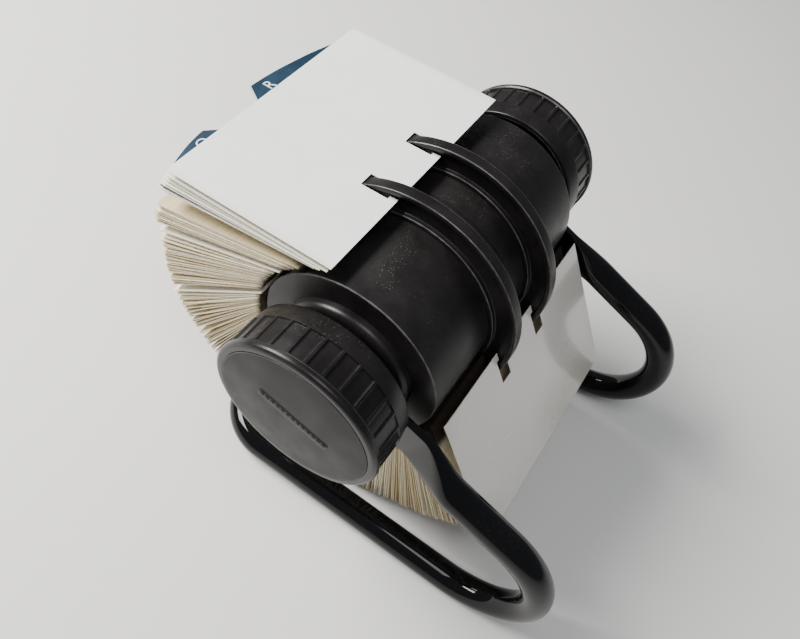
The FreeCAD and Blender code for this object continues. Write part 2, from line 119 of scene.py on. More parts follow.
# ---- fixed sizes of the cards ----
NECK_HALF = 1.4 * MM          # half the width of a notch's neck
EYE_HALF = 3.0 * MM           # half the width of the eye above it
NECK_HEIGHT = 3.0 * MM
EYE_HEIGHT = 16 * MM
LOOSE_EYE_HEIGHT = 13.4 * MM
PIVOT_HEIGHT = 1.5 * MM       # a loose card's pivot, above its lower edge
FILED_THICKNESS = 0.25 * MM
CURL_HEIGHT = 57 * MM         # where a packed card's bend reaches its full amount
GUIDE_RAISE = 0.7 * MM        # plain guides stand this much higher than the cards
TAB_BULGE = 1.6 * MM          # how far a tab's arc stands out from its chord
TAB_STEPS = 12
PRINT_THICKNESS = 0.02 * MM
PRINT_LINE = 0.28 * MM
LETTER_SIZE = 6.0 * MM
LETTER_INSET = 5.2 * MM       # from the tab's peak
LETTER_RAISE = 1.4 * MM       # above the tab's foot


# ---- settings that a user would change ----
def length(name, description, default):
    """A length property, in metres."""
    return FloatProperty(name=name, description=description, default=default, min=0, unit="LENGTH",
                         precision=5)


def angle(name, description, degrees):
    """An angle property, given in degrees."""
    return FloatProperty(name=name, description=description, default=math.radians(degrees),
                         subtype="ANGLE")


def colour(name, description, default):
    """A colour property."""
    return FloatVectorProperty(name=name, description=description, default=default, subtype="COLOR",
                               min=0, max=1)


class StandSettings(bpy.types.PropertyGroup):
    """Sizes of the bent tube."""
    tube_radius: length("Tube radius", "Outer radius of the round tube", 6 * MM)
    front_bend: length("Front bend", "Centre-line radius of each front bend", 31.1 * MM)
    front_reach: length("Front reach", "Centre of the front bends, ahead of the axle", 67.2 * MM)
    rear_bend: length("Rear bend", "Centre-line radius of each rear corner", 23 * MM)
    rear_reach: length("Rear reach", "Crossbar, behind the axle", 48.3 * MM)
    blade_length: length("Blade length", "Flattened end, from the axle", 36 * MM)
    blade_width: length("Blade width", "Width of each flattened end", 17 * MM)
    blade_thickness: length("Blade thickness", "Thickness of each flattened end", 3 * MM)
    blade_place: length("Blade place", "Middle of each blade, along the axle", 56.6 * MM)
    flare_length: length("Flare length", "From the flattened end to the round tube", 22 * MM)
    enamel: colour("Enamel", "Stove enamel on the tube", (0.003, 0.003, 0.0035))


class DrumSettings(bpy.types.PropertyGroup):
    """Sizes of the drum, its rails and its collars."""
    wall: length("Wall", "Wall of the drum shells", 2.2 * MM)
    edge: length("Edge radius", "Rounding of the drum's ends", 0.8 * MM)
    rail_head_width: length("Rail head width", "Width of each rail's head", 4.8 * MM)
    rail_head: length("Rail head", "Thickness of each rail's head", 1.9 * MM)
    rail_web: length("Rail web", "Thickness of each rail's web", 1.8 * MM)
    rail_foot: length("Rail foot", "Thickness of each rail's foot", 1.65 * MM)
    collar_edge: length("Collar edge", "Rounding of the collars", 2.6 * MM)
    plastic: colour("Plastic", "Moulded drum plastic", (0.0065, 0.0055, 0.0056))
    dust: colour("Dust", "Dust that has settled", (0.24, 0.22, 0.20))


class KnobSettings(bpy.types.PropertyGroup):
    """Sizes of the knobs."""
    grip_radius: length("Grip radius", "Radius of the grip's lands", 30.7 * MM)
    skirt_radius: length("Skirt radius", "Radius at the inner end", 29.8 * MM)
    grip_start: length("Grip start", "Inner end of the flutes, along the axle", 65.7 * MM)
    grip_end: length("Grip end", "Outer end of the flutes, along the axle", 76.3 * MM)
    flute_count: IntProperty(name="Flutes", description="Flutes round each knob", default=30, min=3)
    land: length("Land", "Width left between two flutes", 1.2 * MM)
    flute_depth: length("Flute depth", "Depth of each flute", 0.6 * MM)
    edge: length("Edge radius", "Rounding of the outer rim", 1.6 * MM)
    wall: length("Wall", "Wall of the hollow knob", 2.2 * MM)
    bar_length: length("Bar length", "Plain raised bar on each face", 28 * MM)
    bar_width: length("Bar width", "Width of that bar", 3.8 * MM)
    bar_height: length("Bar height", "Height of that bar", 0.5 * MM)
    bar_slope: angle("Bar slope", "Turn of the bar about the axle", 15.4)
    face: colour("Face", "Moulded plastic of the inset faces", (0.0085, 0.0072, 0.0072))


class CardSettings(bpy.types.PropertyGroup):
    """Sizes and colours of the cards."""
    height: length("Card height", "Height of a packed card", 57.15 * MM)
    tall_height: length("Tall card height", "Height of a loose or filed card", 63.5 * MM)
    thickness: length("Card thickness", "Thickness of a card", 0.3 * MM)
    guide_height: length("Guide height", "Lettered guide, without its tab", 62.4 * MM)
    guide_thickness: length("Guide thickness", "Thickness of a guide", 0.4 * MM)
    tab_height: length("Tab height", "Peak of a guide's tab", 7.8 * MM)
    foot_radius: length("Foot radius", "Packed cards' lower edges, from the axle", 35.6 * MM)
    filed_foot: length("Filed foot radius", "Filed cards' and guides' lower edges, from the axle",
                       38.6 * MM)
    corner: length("Corner", "Rounding of a card's upper corners", 2 * MM)
    pitch: length("Card pitch", "Spacing of packed cards at their feet", 0.42 * MM)
    stock: colour("Stock", "Cream card stock", (0.86, 0.80, 0.64))
    guide: colour("Guide", "Index guide plastic", (0.00372, 0.0186, 0.0384))
    seed: IntProperty(name="Seed", description="Seed of the packed cards' scatter", default=7)


class StageSettings(bpy.types.PropertyGroup):
    """Camera, floor and lights."""
    azimuth: angle("Azimuth", "Camera's turn about the object", -70.64)
    elevation: angle("Elevation", "Camera's height above the horizon", 55.17)
    roll: angle("Roll", "Camera's roll", 16.89)
    distance: length("Distance", "From the camera to its target", 309.31 * MM)
    lens: FloatProperty(name="Focal length", description="Camera's focal length, in millimetres",
                        default=33.64, unit="CAMERA")
    target: FloatVectorProperty(name="Target", description="Camera's target, from the axle",
                                default=(-0.01 * MM, 3.61 * MM, -40.66 * MM), subtype="TRANSLATION")
    floor_colour: colour("Floor", "Plain pale floor", (0.74, 0.73, 0.71))


SETTINGS = {
    "card_file_stand": StandSettings,
    "card_file_drum": DrumSettings,
    "card_file_knob": KnobSettings,
    "card_file_cards": CardSettings,
    "card_file_stage": StageSettings,
}

# Lean of a hanging card: (place of its lower edge, direction of the card), in degrees about the
# axle from the rear horizontal, upwards positive.
LEAN = ((54, -14), (41, -19), (34, -24), (28, -28.5), (13, -37), (0, -46), (-12, -60), (-25, -72),
        (-45, -80), (-90, -90), (-130, -97), (-146, -110), (-153, -117), (-168, -120.5))
# Packs: first and last place, and height against a plain card's.
PACKS = {
    "card_pack_top": (54, 41, 1.058),
    "card_pack_rear": (34, 9, 1.0),
    "card_pack_lower_rear": (5, -22, 1.0),
    "card_pack_under": (-26, -101, 1.0),
    "card_pack_front": (-105, -168, 1.0),
}
INDEX_GUIDE_PLACES = (37.5, 7, -24, -103)
# Cards filed by the lettered guides: place, lean. Loose cards: lean only.
FILED_CARDS = ((71.8, -3.2), (70.7, -4.2), (69.5, -5.2), (68.4, -6.2), (67.2, -7.2), (64.8, -9.0),
               (63.8, -9.6))
LOOSE_LEAN = {"top_card": -3.0, "front_card": -122.0}
# Lettered guides: place, lean, tab (foot of the arc, peak, foot of the slanted end) in mm, letter,
# and how much narrower it is cut at each side.
GUIDES = {
    "guide_card_r": (73.0, -2.2, (42.0, -1.5, -6.5), "R", 1.4 * MM),
    "guide_card_q": (66.0, -8.2, (-49.5, -22.0, -15.0), "Q", 0.0),
}


# ---- shader helpers ----
class Nodes:
    """A short way to add and link shader nodes in a tree."""

    def __init__(self, tree):
        self.tree = tree

    def add(self, kind, inputs=None, **settings):
        """A node with its settings, and its inputs set to values or linked from sockets."""
        node = self.tree.nodes.new(kind)
        for key, value in settings.items():
            setattr(node, key, value)
        for key, value in (inputs or {}).items():
            if isinstance(value, bpy.types.NodeSocket):
                self.tree.links.new(value, node.inputs[key])
            else:
                node.inputs[key].default_value = value
        return node

    def math(self, operation, first, second=0.0, clamp=False):
        """The result of one sum."""
        node = self.add("ShaderNodeMath", {0: first, 1: second}, operation=operation, use_clamp=clamp)
        return node.outputs[0]

    def mix(self, share, first, second):
        """A colour between two, or a mixture by a mask."""
        node = self.add("ShaderNodeMix", data_type="RGBA")
        for key, value in ((0, share), (6, first), (7, second)):
            if isinstance(value, bpy.types.NodeSocket):
                self.tree.links.new(value, node.inputs[key])
            else:
                node.inputs[key].default_value = value if key == 0 else tuple(value)[:3] + (1,)
        return node.outputs[2]

    def ramp(self, value, low, high, to_low=0.0, to_high=1.0):
        """A value moved smoothly from one range to another."""
        node = self.add("ShaderNodeMapRange", {0: value, 1: low, 2: high, 3: to_low, 4: to_high},
                        interpolation_type="SMOOTHSTEP")
        return node.outputs[0]

    def noise(self, vector, scale, detail=2.0, roughness=0.5):
        """A noise value from 0 to 1."""
        node = self.add("ShaderNodeTexNoise", {"Vector": vector, "Scale": scale, "Detail": detail,
                                               "Roughness": roughness})
        return node.outputs[0]


def new_group(name, inputs, outputs):
    """A shader group with named sockets, as (group, nodes, its input node)."""
    group = bpy.data.node_groups.new(name, "ShaderNodeTree")
    for label, kind, value in inputs:
        socket = group.interface.new_socket(name=label, in_out="INPUT", socket_type=kind)
        if value is not None:
            socket.default_value = value
    for label, kind in outputs:
        group.interface.new_socket(name=label, in_out="OUTPUT", socket_type=kind)
    nodes = Nodes(group)
    return group, nodes, nodes.add("NodeGroupInput")


def axle_place_group():
    """Where a point is about the axle: its radius, and its distance from the drum's middle."""
    group, n, given = new_group("Axle Place", [("Point", "NodeSocketVector", None)],
                                [("Radius", "NodeSocketFloat"), ("Along", "NodeSocketFloat"),
                                 ("Ring", "NodeSocketVector")])
    place = n.add("ShaderNodeVectorMath", {0: given.outputs["Point"], 1: AXLE}, operation="SUBTRACT")
    parts = n.add("ShaderNodeSeparateXYZ", {0: place.outputs[0]})
    flat = n.add("ShaderNodeCombineXYZ", {1: parts.outputs[1], 2: parts.outputs[2]})
    radius = n.add("ShaderNodeVectorMath", {0: flat.outputs[0]}, operation="LENGTH")
    along = n.math("ABSOLUTE", parts.outputs[0])
    ring = n.add("ShaderNodeCombineXYZ", {0: parts.outputs[0], 1: radius.outputs["Value"]})
    n.add("NodeGroupOutput", {0: radius.outputs["Value"], 1: along, 2: ring.outputs[0]})
    return group


def fine_dust_group():
    """Specks of dust, thicker in soft patches and on surfaces that face up."""
    group, n, given = new_group("Fine Dust", [("Point", "NodeSocketVector", None),
                                              ("Amount", "NodeSocketFloat", 0.5),
                                              ("Speck Scale", "NodeSocketFloat", 1400.0)],
                                [("Mask", "NodeSocketFloat"), ("Film", "NodeSocketFloat")])
    cells = n.add("ShaderNodeTexVoronoi", {"Vector": given.outputs["Point"],
                                           "Scale": given.outputs["Speck Scale"]})
    size = n.add("ShaderNodeSeparateColor", {0: cells.outputs["Color"]})
    reach = n.math("MULTIPLY", n.ramp(size.outputs[0], 0.55, 1.0), 0.30)
    spot = n.math("LESS_THAN", cells.outputs["Distance"], reach)
    patch = n.ramp(n.noise(given.outputs["Point"], 70.0, 3.0), 0.46, 0.72)
    film = n.ramp(n.noise(given.outputs["Point"], 34.0, 4.0, 0.6), 0.40, 0.75)
    facing = n.add("ShaderNodeSeparateXYZ", {0: n.add("ShaderNodeNewGeometry").outputs["Normal"]})
    up = n.ramp(facing.outputs[2], -0.2, 0.8)
    amount = n.math("MULTIPLY", given.outputs["Amount"], n.math("MULTIPLY", patch, up))
    mask = n.math("MULTIPLY", spot, amount, clamp=True)
    n.add("NodeGroupOutput", {0: mask, 1: n.math("MULTIPLY", film, up)})
    return group


def moulded_grain_group():
    """Height and tone of fine moulded grain."""
    group, n, given = new_group("Moulded Grain", [("Point", "NodeSocketVector", None),
                                                  ("Scale", "NodeSocketFloat", 1500.0)],
                                [("Height", "NodeSocketFloat"), ("Tone", "NodeSocketFloat")])
    fine = n.noise(given.outputs["Point"], given.outputs["Scale"], 3.0, 0.6)
    pits = n.add("ShaderNodeTexVoronoi", {"Vector": given.outputs["Point"],
                                          "Scale": given.outputs["Scale"]})
    height = n.math("ADD", n.math("MULTIPLY", fine, 0.6), n.math("MULTIPLY", pits.outputs["Distance"], 0.5))
    n.add("NodeGroupOutput", {0: height, 1: n.noise(given.outputs["Point"], 90.0, 4.0, 0.6)})
    return group


def paper_fibre_group():
    """Height and tone of paper: fine tooth, soft cloudiness and a few flecks."""
    group, n, given = new_group("Paper Fibre", [("Point", "NodeSocketVector", None),
                                                ("Scale", "NodeSocketFloat", 2200.0)],
                                [("Height", "NodeSocketFloat"), ("Cloud", "NodeSocketFloat"),
                                 ("Fleck", "NodeSocketFloat")])
    stretched = n.add("ShaderNodeMapping", {"Vector": given.outputs["Point"], "Scale": (0.35, 1.0, 1.0)})
    tooth = n.noise(stretched.outputs[0], given.outputs["Scale"], 4.0, 0.65)
    cloud = n.noise(given.outputs["Point"], 42.0, 4.0, 0.55)
    fleck = n.ramp(n.noise(stretched.outputs[0], 380.0, 2.0), 0.70, 0.80)
    n.add("NodeGroupOutput", {0: tooth, 1: cloud, 2: fleck})
    return group


def band_wear_group():
    """Mask of a rubbed line, partly wear and partly painted highlight, at one place along a value, broken up
    along its run.
    """
    group, n, given = new_group("Band Wear And Highlight", [("Point", "NodeSocketVector", None),
                                              ("Value", "NodeSocketFloat", 0.0),
                                              ("Place", "NodeSocketFloat", 0.0),
                                              ("Width", "NodeSocketFloat", 0.0003)],
                                [("Mask", "NodeSocketFloat")])
    off = n.math("ABSOLUTE", n.math("SUBTRACT", given.outputs["Value"], given.outputs["Place"]))
    ragged = n.math("MULTIPLY", given.outputs["Width"],
                    n.ramp(n.noise(given.outputs["Point"], 260.0, 3.0, 0.7), 0.25, 0.75, 0.35, 1.25))
    inside = n.math("SUBTRACT", 1.0, n.math("DIVIDE", off, ragged), clamp=True)
    broken = n.ramp(n.noise(given.outputs["Point"], 55.0, 3.0), 0.30, 0.55, 0.35, 1.0)
    n.add("NodeGroupOutput", {0: n.math("MULTIPLY", inside, broken)})
    return group


GROUP_MAKERS = {
    "Axle Place": axle_place_group,
    "Fine Dust": fine_dust_group,
    "Moulded Grain": moulded_grain_group,
    "Paper Fibre": paper_fibre_group,
    "Band Wear And Highlight": band_wear_group,
}


def effect(n, name, **inputs):
    """A shared effect placed in a material with its own values; underscores stand for spaces."""
    group = bpy.data.node_groups.get(name) or GROUP_MAKERS[name]()
    return n.add("ShaderNodeGroup", {key.replace("_", " "): value for key, value in inputs.items()},
                 node_tree=group)


def new_material(name, base, roughness, **shader_inputs):
    """A material with its shader, as (material, nodes, shader, object-space point)."""
    material = bpy.data.materials.new(name + "_finish")
    material.use_nodes = True
    material.node_tree.nodes.clear()
    n = Nodes(material.node_tree)
    shader = n.add("ShaderNodeBsdfPrincipled", {"Base Color": tuple(base) + (1,), "Roughness": roughness})
    for key, value in shader_inputs.items():
        shader.inputs[key.replace("_", " ")].default_value = value
    n.add("ShaderNodeOutputMaterial", {"Surface": shader.outputs[0]})
    material.diffuse_color = tuple(base) + (1,)
    return material, n, shader, n.add("ShaderNodeTexCoord").outputs["Object"]


def link(n, shader, **sockets):
    """Link values to the shader's own sockets."""
    for key, value in sockets.items():
        n.tree.links.new(value, shader.inputs[key.replace("_", " ")])


def bump(n, height, strength, distance):
    """A bumped normal from a height."""
    return n.add("ShaderNodeBump", {"Height": height, "Strength": strength, "Distance": distance}).outputs[0]


# ---- materials ----
SPECK_GREY = (0.16, 0.155, 0.15)
# Lighter grey of rubbed lines on the mouldings: partly wear, partly painted highlight.
RUBBED_AND_HIGHLIGHT_GREY = (0.20, 0.195, 0.19)
AGED_STOCK = (0.62, 0.51, 0.31)
BROWN_CARD = (0.22, 0.17, 0.10)
STREAK_BROWN = (0.40, 0.31, 0.17)
# Near-black painted shade on the cards, by the drum and beside the rails.
PAINTED_SHADE_BROWN = (0.022, 0.014, 0.009)
HANDLED_EDGE = (0.80, 0.72, 0.52)
SATIN_SPECULAR = 0.32
FACE_SPECULAR = 0.24


def enamel_material(base):
    """Gloss black stove enamel, with a faint orange peel, fine dust and dulled patches."""
    material, n, shader, point = new_material("tube_enamel", base, 0.07, IOR=1.45)
    shader.inputs["Specular IOR Level"].default_value = SATIN_SPECULAR
    dust = effect(n, "Fine Dust", Point=point, Amount=0.3, Speck_Scale=2600.0)
    peel = n.noise(point, 240.0, 2.0)
    tone = n.mix(dust.outputs["Mask"], base, SPECK_GREY)
    handled = n.ramp(n.noise(point, 30.0, 4.0, 0.6), 0.35, 0.75, 0.04, 0.11)
    rough = n.math("ADD", handled, n.math("MULTIPLY", dust.outputs["Mask"], 0.5))
    link(n, shader, Base_Color=tone, Roughness=rough, Normal=bump(n, peel, 0.03, 0.0002))
    return material


def moulded_plastic(name, base, dust_colour, roughness, grain, dust_amount, wear=(),
                    specular=SATIN_SPECULAR):
    """Satin black moulding with grain, dust and rubbed bright lines.

    Each line of wear and painted highlight is (along, radius, width); without an along it is a circle on a
    flat face.
    """
    material, n, shader, point = new_material(name, base, roughness, IOR=1.45)
    shader.inputs["Specular IOR Level"].default_value = specular
    place = effect(n, "Axle Place", Point=point)
    moulding = effect(n, "Moulded Grain", Point=point, Scale=grain)
    dust = effect(n, "Fine Dust", Point=point, Amount=dust_amount, Speck_Scale=2300.0)
    tone = n.mix(n.ramp(moulding.outputs["Tone"], 0.3, 0.7), base, [value * 1.7 for value in base])
    tone = n.mix(n.math("MULTIPLY", dust.outputs["Film"], 0.022), tone, dust_colour)
    tone = n.mix(dust.outputs["Mask"], tone, dust_colour)
    rough = n.ramp(moulding.outputs["Tone"], 0.25, 0.75, roughness - 0.05, roughness + 0.07)
    # Each line is painted lighter grey and made glossier: partly rubbed wear, partly painted highlight on an
    # edge.
    for along, radius, width in wear:
        on_face = along is None
        value = place.outputs["Radius" if on_face else "Along"]
        rubbed_and_painted_light = effect(n, "Band Wear And Highlight", Point=point, Value=value, Place=radius if on_face else along,
                        Width=width)
        mask = rubbed_and_painted_light.outputs[0]
        if not on_face:
            near = n.ramp(n.math("ABSOLUTE", n.math("SUBTRACT", place.outputs["Radius"], radius)),
                          width, 2.5 * width, 1.0, 0.0)
            mask = n.math("MULTIPLY", mask, near)
        tone = n.mix(n.math("MULTIPLY", mask, 0.6), tone, RUBBED_AND_HIGHLIGHT_GREY)
        rough = n.math("SUBTRACT", rough, n.math("MULTIPLY", mask, 0.1))
    grained = bump(n, moulding.outputs["Height"], 0.22, 0.00006)
    link(n, shader, Base_Color=tone, Roughness=rough, Normal=grained)
    return material


def metal_material(name, base, roughness, brushed):
    """Turned or pressed steel, with fine circular marks about the axle."""
    material, n, shader, point = new_material(name, base, roughness, Metallic=1.0)
    place = effect(n, "Axle Place", Point=point)
    marks = n.noise(place.outputs["Ring"], brushed, 3.0)
    stain = n.noise(point, 160.0, 4.0)
    tone = n.mix(n.ramp(stain, 0.45, 0.75), base, [value * 0.62 for value in base])
    link(n, shader, Base_Color=tone, Roughness=n.ramp(marks, 0.2, 0.8, roughness - 0.08, roughness + 0.12),
         Normal=bump(n, marks, 0.15, 0.00004))
    return material


def nylon_material():
    """Natural nylon, slightly mottled."""
    base = (0.55, 0.53, 0.47)
    material, n, shader, point = new_material("bush_nylon", base, 0.5, Subsurface_Weight=0.1)
    moulding = effect(n, "Moulded Grain", Point=point, Scale=1300.0)
    link(n, shader, Base_Color=n.mix(moulding.outputs["Tone"], base, (0.66, 0.64, 0.58)),
         Normal=bump(n, moulding.outputs["Height"], 0.2, 0.00005))
    return material


def card_stock_material(base):
    """Cream card stock: each card its own tint and streaked, with near-black painted shade by the drum and
    beside the rails.
    """
    material, n, shader, point = new_material("card_stock", base, 0.72)
    shader.inputs["Specular IOR Level"].default_value = 0.25
    place = effect(n, "Axle Place", Point=point)
    paper = effect(n, "Paper Fibre", Point=point, Scale=2000.0)
    tint = n.add("ShaderNodeAttribute", attribute_name="card_tint").outputs["Fac"]
    light = n.mix(n.ramp(tint, 0.0, 0.9), base, AGED_STOCK)
    tone = n.mix(n.math("GREATER_THAN", tint, 0.955), light, BROWN_CARD)
    streak = n.add("ShaderNodeMapping", {"Vector": point, "Scale": (22.0, 900.0, 900.0)})
    streaks = n.ramp(n.noise(streak.outputs[0], 1.0, 3.0), 0.35, 0.7)
    tone = n.mix(n.math("MULTIPLY", streaks, 0.30), tone, STREAK_BROWN)
    # Painted shade, near black, where the cards' feet meet the drum; it reaches higher on the cards in front.
    ragged = n.math("ADD", place.outputs["Radius"],
                    n.math("MULTIPLY", n.noise(point, 420.0, 3.0), 3 * MM))
    ahead = n.ramp(n.add("ShaderNodeSeparateXYZ", {0: point}).outputs[1], AXLE.y - 16 * MM,
                   AXLE.y - 26 * MM, 0.0, 7 * MM)
    ragged = n.math("SUBTRACT", ragged, ahead)
    painted_shade_by_drum = n.ramp(ragged, DRUM_R + 2.6 * MM, DRUM_R + 6.6 * MM, 1.0, 0.0)
    # Painted shade, near black, beside the rails where the notches are.
    beside = n.ramp(n.math("ABSOLUTE", n.math("SUBTRACT", place.outputs["Along"], RAIL_MIDDLE)), 3.2 * MM,
                    4.2 * MM, 1.0, 0.0)
    near = n.ramp(place.outputs["Radius"], RAIL_R + 14 * MM, RAIL_R + 18 * MM, 1.0, 0.0)
    rubbed_and_painted_light = n.math("MULTIPLY", beside, near)
    tone = n.mix(n.math("MAXIMUM", painted_shade_by_drum, rubbed_and_painted_light), tone, PAINTED_SHADE_BROWN)
    link(n, shader, Base_Color=tone, Normal=bump(n, paper.outputs["Height"], 0.25, 0.00004))
    return material


def white_card_material():
    """Smooth off-white card, warmer at its edges, with faint handling marks."""
    base = (0.86, 0.865, 0.845)
    material, n, shader, point = new_material("white_card", base, 0.55)
    shader.inputs["Specular IOR Level"].default_value = 0.35
    paper = effect(n, "Paper Fibre", Point=point, Scale=2600.0)
    tone = n.mix(n.ramp(paper.outputs["Cloud"], 0.35, 0.75), base, (0.80, 0.805, 0.79))
    side = n.math("ABSOLUTE", n.add("ShaderNodeSeparateXYZ", {0: point}).outputs[0])
    edge = n.ramp(n.math("ADD", side, n.math("MULTIPLY", n.noise(point, 240.0, 3.0), 1.5 * MM)),
                  CARD_HALF - 2.4 * MM, CARD_HALF + 0.6 * MM)
    tone = n.mix(n.math("MULTIPLY", edge, 0.55), tone, HANDLED_EDGE)
    tone = n.mix(n.math("MULTIPLY", paper.outputs["Fleck"], 0.10), tone, (0.55, 0.53, 0.48))
    link(n, shader, Base_Color=tone, Normal=bump(n, paper.outputs["Height"], 0.16, 0.00003))
    return material


def glossy_sleeve_material():
    """Glossy laminated card, with a soft change of tone and fine scuffs."""
    base = (0.70, 0.67, 0.62)
    material, n, shader, point = new_material("glossy_sleeve", base, 0.2, IOR=1.5, Coat_Roughness=0.08)
    shader.inputs["Coat Weight"].default_value = 0.8
    paper = effect(n, "Paper Fibre", Point=point, Scale=1500.0)
    swirl = n.ramp(n.noise(point, 14.0, 1.0), 0.42, 0.60)
    tone = n.mix(swirl, base, (0.58, 0.54, 0.48))
    rough = n.ramp(paper.outputs["Cloud"], 0.3, 0.7, 0.16, 0.30)
    wave = n.math("ADD", n.noise(point, 26.0, 1.0), n.math("MULTIPLY", paper.outputs["Height"], 0.02))
    link(n, shader, Base_Color=tone, Roughness=rough, Normal=bump(n, wave, 0.25, 0.0012))
    return material


def guide_material(base):
    """Dark blue guide plastic with a fine grain and paler rubbed patches."""
    material, n, shader, point = new_material("guide_plastic", base, 0.42, IOR=1.46)
    moulding = effect(n, "Moulded Grain", Point=point, Scale=1700.0)
    tone = n.mix(n.ramp(moulding.outputs["Tone"], 0.4, 0.8), base, (0.012, 0.042, 0.075))
    link(n, shader, Base_Color=tone, Normal=bump(n, moulding.outputs["Height"], 0.12, 0.00004))
    return material


def print_material():
    """White print on the guides, slightly broken."""
    base = (0.78, 0.80, 0.82)
    material, n, shader, point = new_material("guide_print", base, 0.5)
    shade = n.ramp(n.noise(point, 700.0, 3.0), 0.35, 0.7)
    link(n, shader, Base_Color=n.mix(shade, base, (0.55, 0.60, 0.66)))
    return material


def floor_material(base):
    """Plain pale matt floor."""
    material, n, shader, point = new_material("stage_floor", base, 0.65)
    tone = n.mix(n.noise(point, 6.0, 2.0), base, [value * 0.97 for value in base])
    link(n, shader, Base_Color=tone)
    return material


LOOKS = {}


def material(name, maker, *values, **named):
    """A material by name, made on first use."""
    if name not in LOOKS:
        LOOKS[name] = maker(*values, **named)
    return LOOKS[name]


# ---- mesh helpers ----
def new_object(name, mesh_data, used):
    """A finished object at the origin, with its materials."""
    made = bpy.data.objects.new(name, mesh_data)
    bpy.context.scene.collection.objects.link(made)
    if not made.data.materials:
        for each in used:
            made.data.materials.append(each)
    return made


def from_bmesh(name, shape, used, smooth_below=math.radians(35)):
    """An object from a bmesh, with outward normals and smooth faces up to an angle."""
    bmesh.ops.remove_doubles(shape, verts=shape.verts, dist=1e-6)
    bmesh.ops.recalc_face_normals(shape, faces=shape.faces)
    for face in shape.faces:
        face.smooth = True
    for edge in shape.edges:
        edge.smooth = len(edge.link_faces) == 2 and edge.calc_face_angle(0) < smooth_below
    mesh_data = bpy.data.meshes.new(name)
    shape.to_mesh(mesh_data)
    shape.free()
    return new_object(name, mesh_data, used)


def rounded_outline(points, steps=5):
    """A closed outline from (along, radius, rounding) corners, each rounded by an arc."""
    outline = []
    count = len(points)
    for number, (x, y, rounding) in enumerate(points):
        here = Vector((x, y))
        if rounding <= 0:
            outline.append(here)
            continue
        back = (Vector(points[number - 1][:2]) - here).normalized()
        ahead = (Vector(points[(number + 1) % count][:2]) - here).normalized()
        half = back.angle(ahead) / 2
        reach = rounding / math.tan(half)
        centre = here + (back + ahead).normalized() * (rounding / math.sin(half))
        first = here + back * reach - centre
        last = here + ahead * reach - centre
        turn = first.angle_signed(last)
        for step in range(steps + 1):
            share = -turn * step / steps
            outline.append(centre + Matrix.Rotation(share, 2) @ first)
    return outline


def bridge(shape, ring, other):
    """Faces between two closed rings of as many points."""
    for number in range(len(ring)):
        ahead = (number + 1) % len(ring)
        shape.faces.new((ring[number], ring[ahead], other[ahead], other[number]))


def turn_outline(shape, outline, segments, flip=1, radius_at=None):
    """Turn a closed outline about the axle; flip is -1 for the left-hand copy."""
    rings = []
    for number in range(segments):
        angle_here = 2 * math.pi * number / segments
        ring = []
        for place in outline:
            radius = place.y if radius_at is None else radius_at(place, angle_here)
            ring.append(shape.verts.new((flip * place.x, AXLE.y + radius * math.cos(angle_here),
                                         AXLE.z + radius * math.sin(angle_here))))
        rings.append(ring)
    for ring, other in zip(rings, rings[1:] + rings[:1]):
        bridge(shape, ring, other)


def turned_piece(name, points, segments, used, flip=1, steps=5):
    """A round piece turned from rounded corners."""
    shape = bmesh.new()
    turn_outline(shape, rounded_outline(points, steps), segments, flip)
    return from_bmesh(name, shape, used)


def stand_for(piece, body, slot, *nodes):
    """Say which body a piece rides on, and hide the nodes that it stands for. The finish that it is given is
    not used.
    """
    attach(piece, body)
    if nodes:
        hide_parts(*nodes)


SIDES = (("right", 1), ("left", -1))


# ---- stand ----
def strut_slope(s):
    """Slope of the strut, which touches the front bend."""
    drop = AXLE.z - s.tube_radius - s.front_bend
    distance = math.hypot(s.front_reach, drop)
    return math.atan2(drop, s.front_reach) - math.asin(s.front_bend / distance)


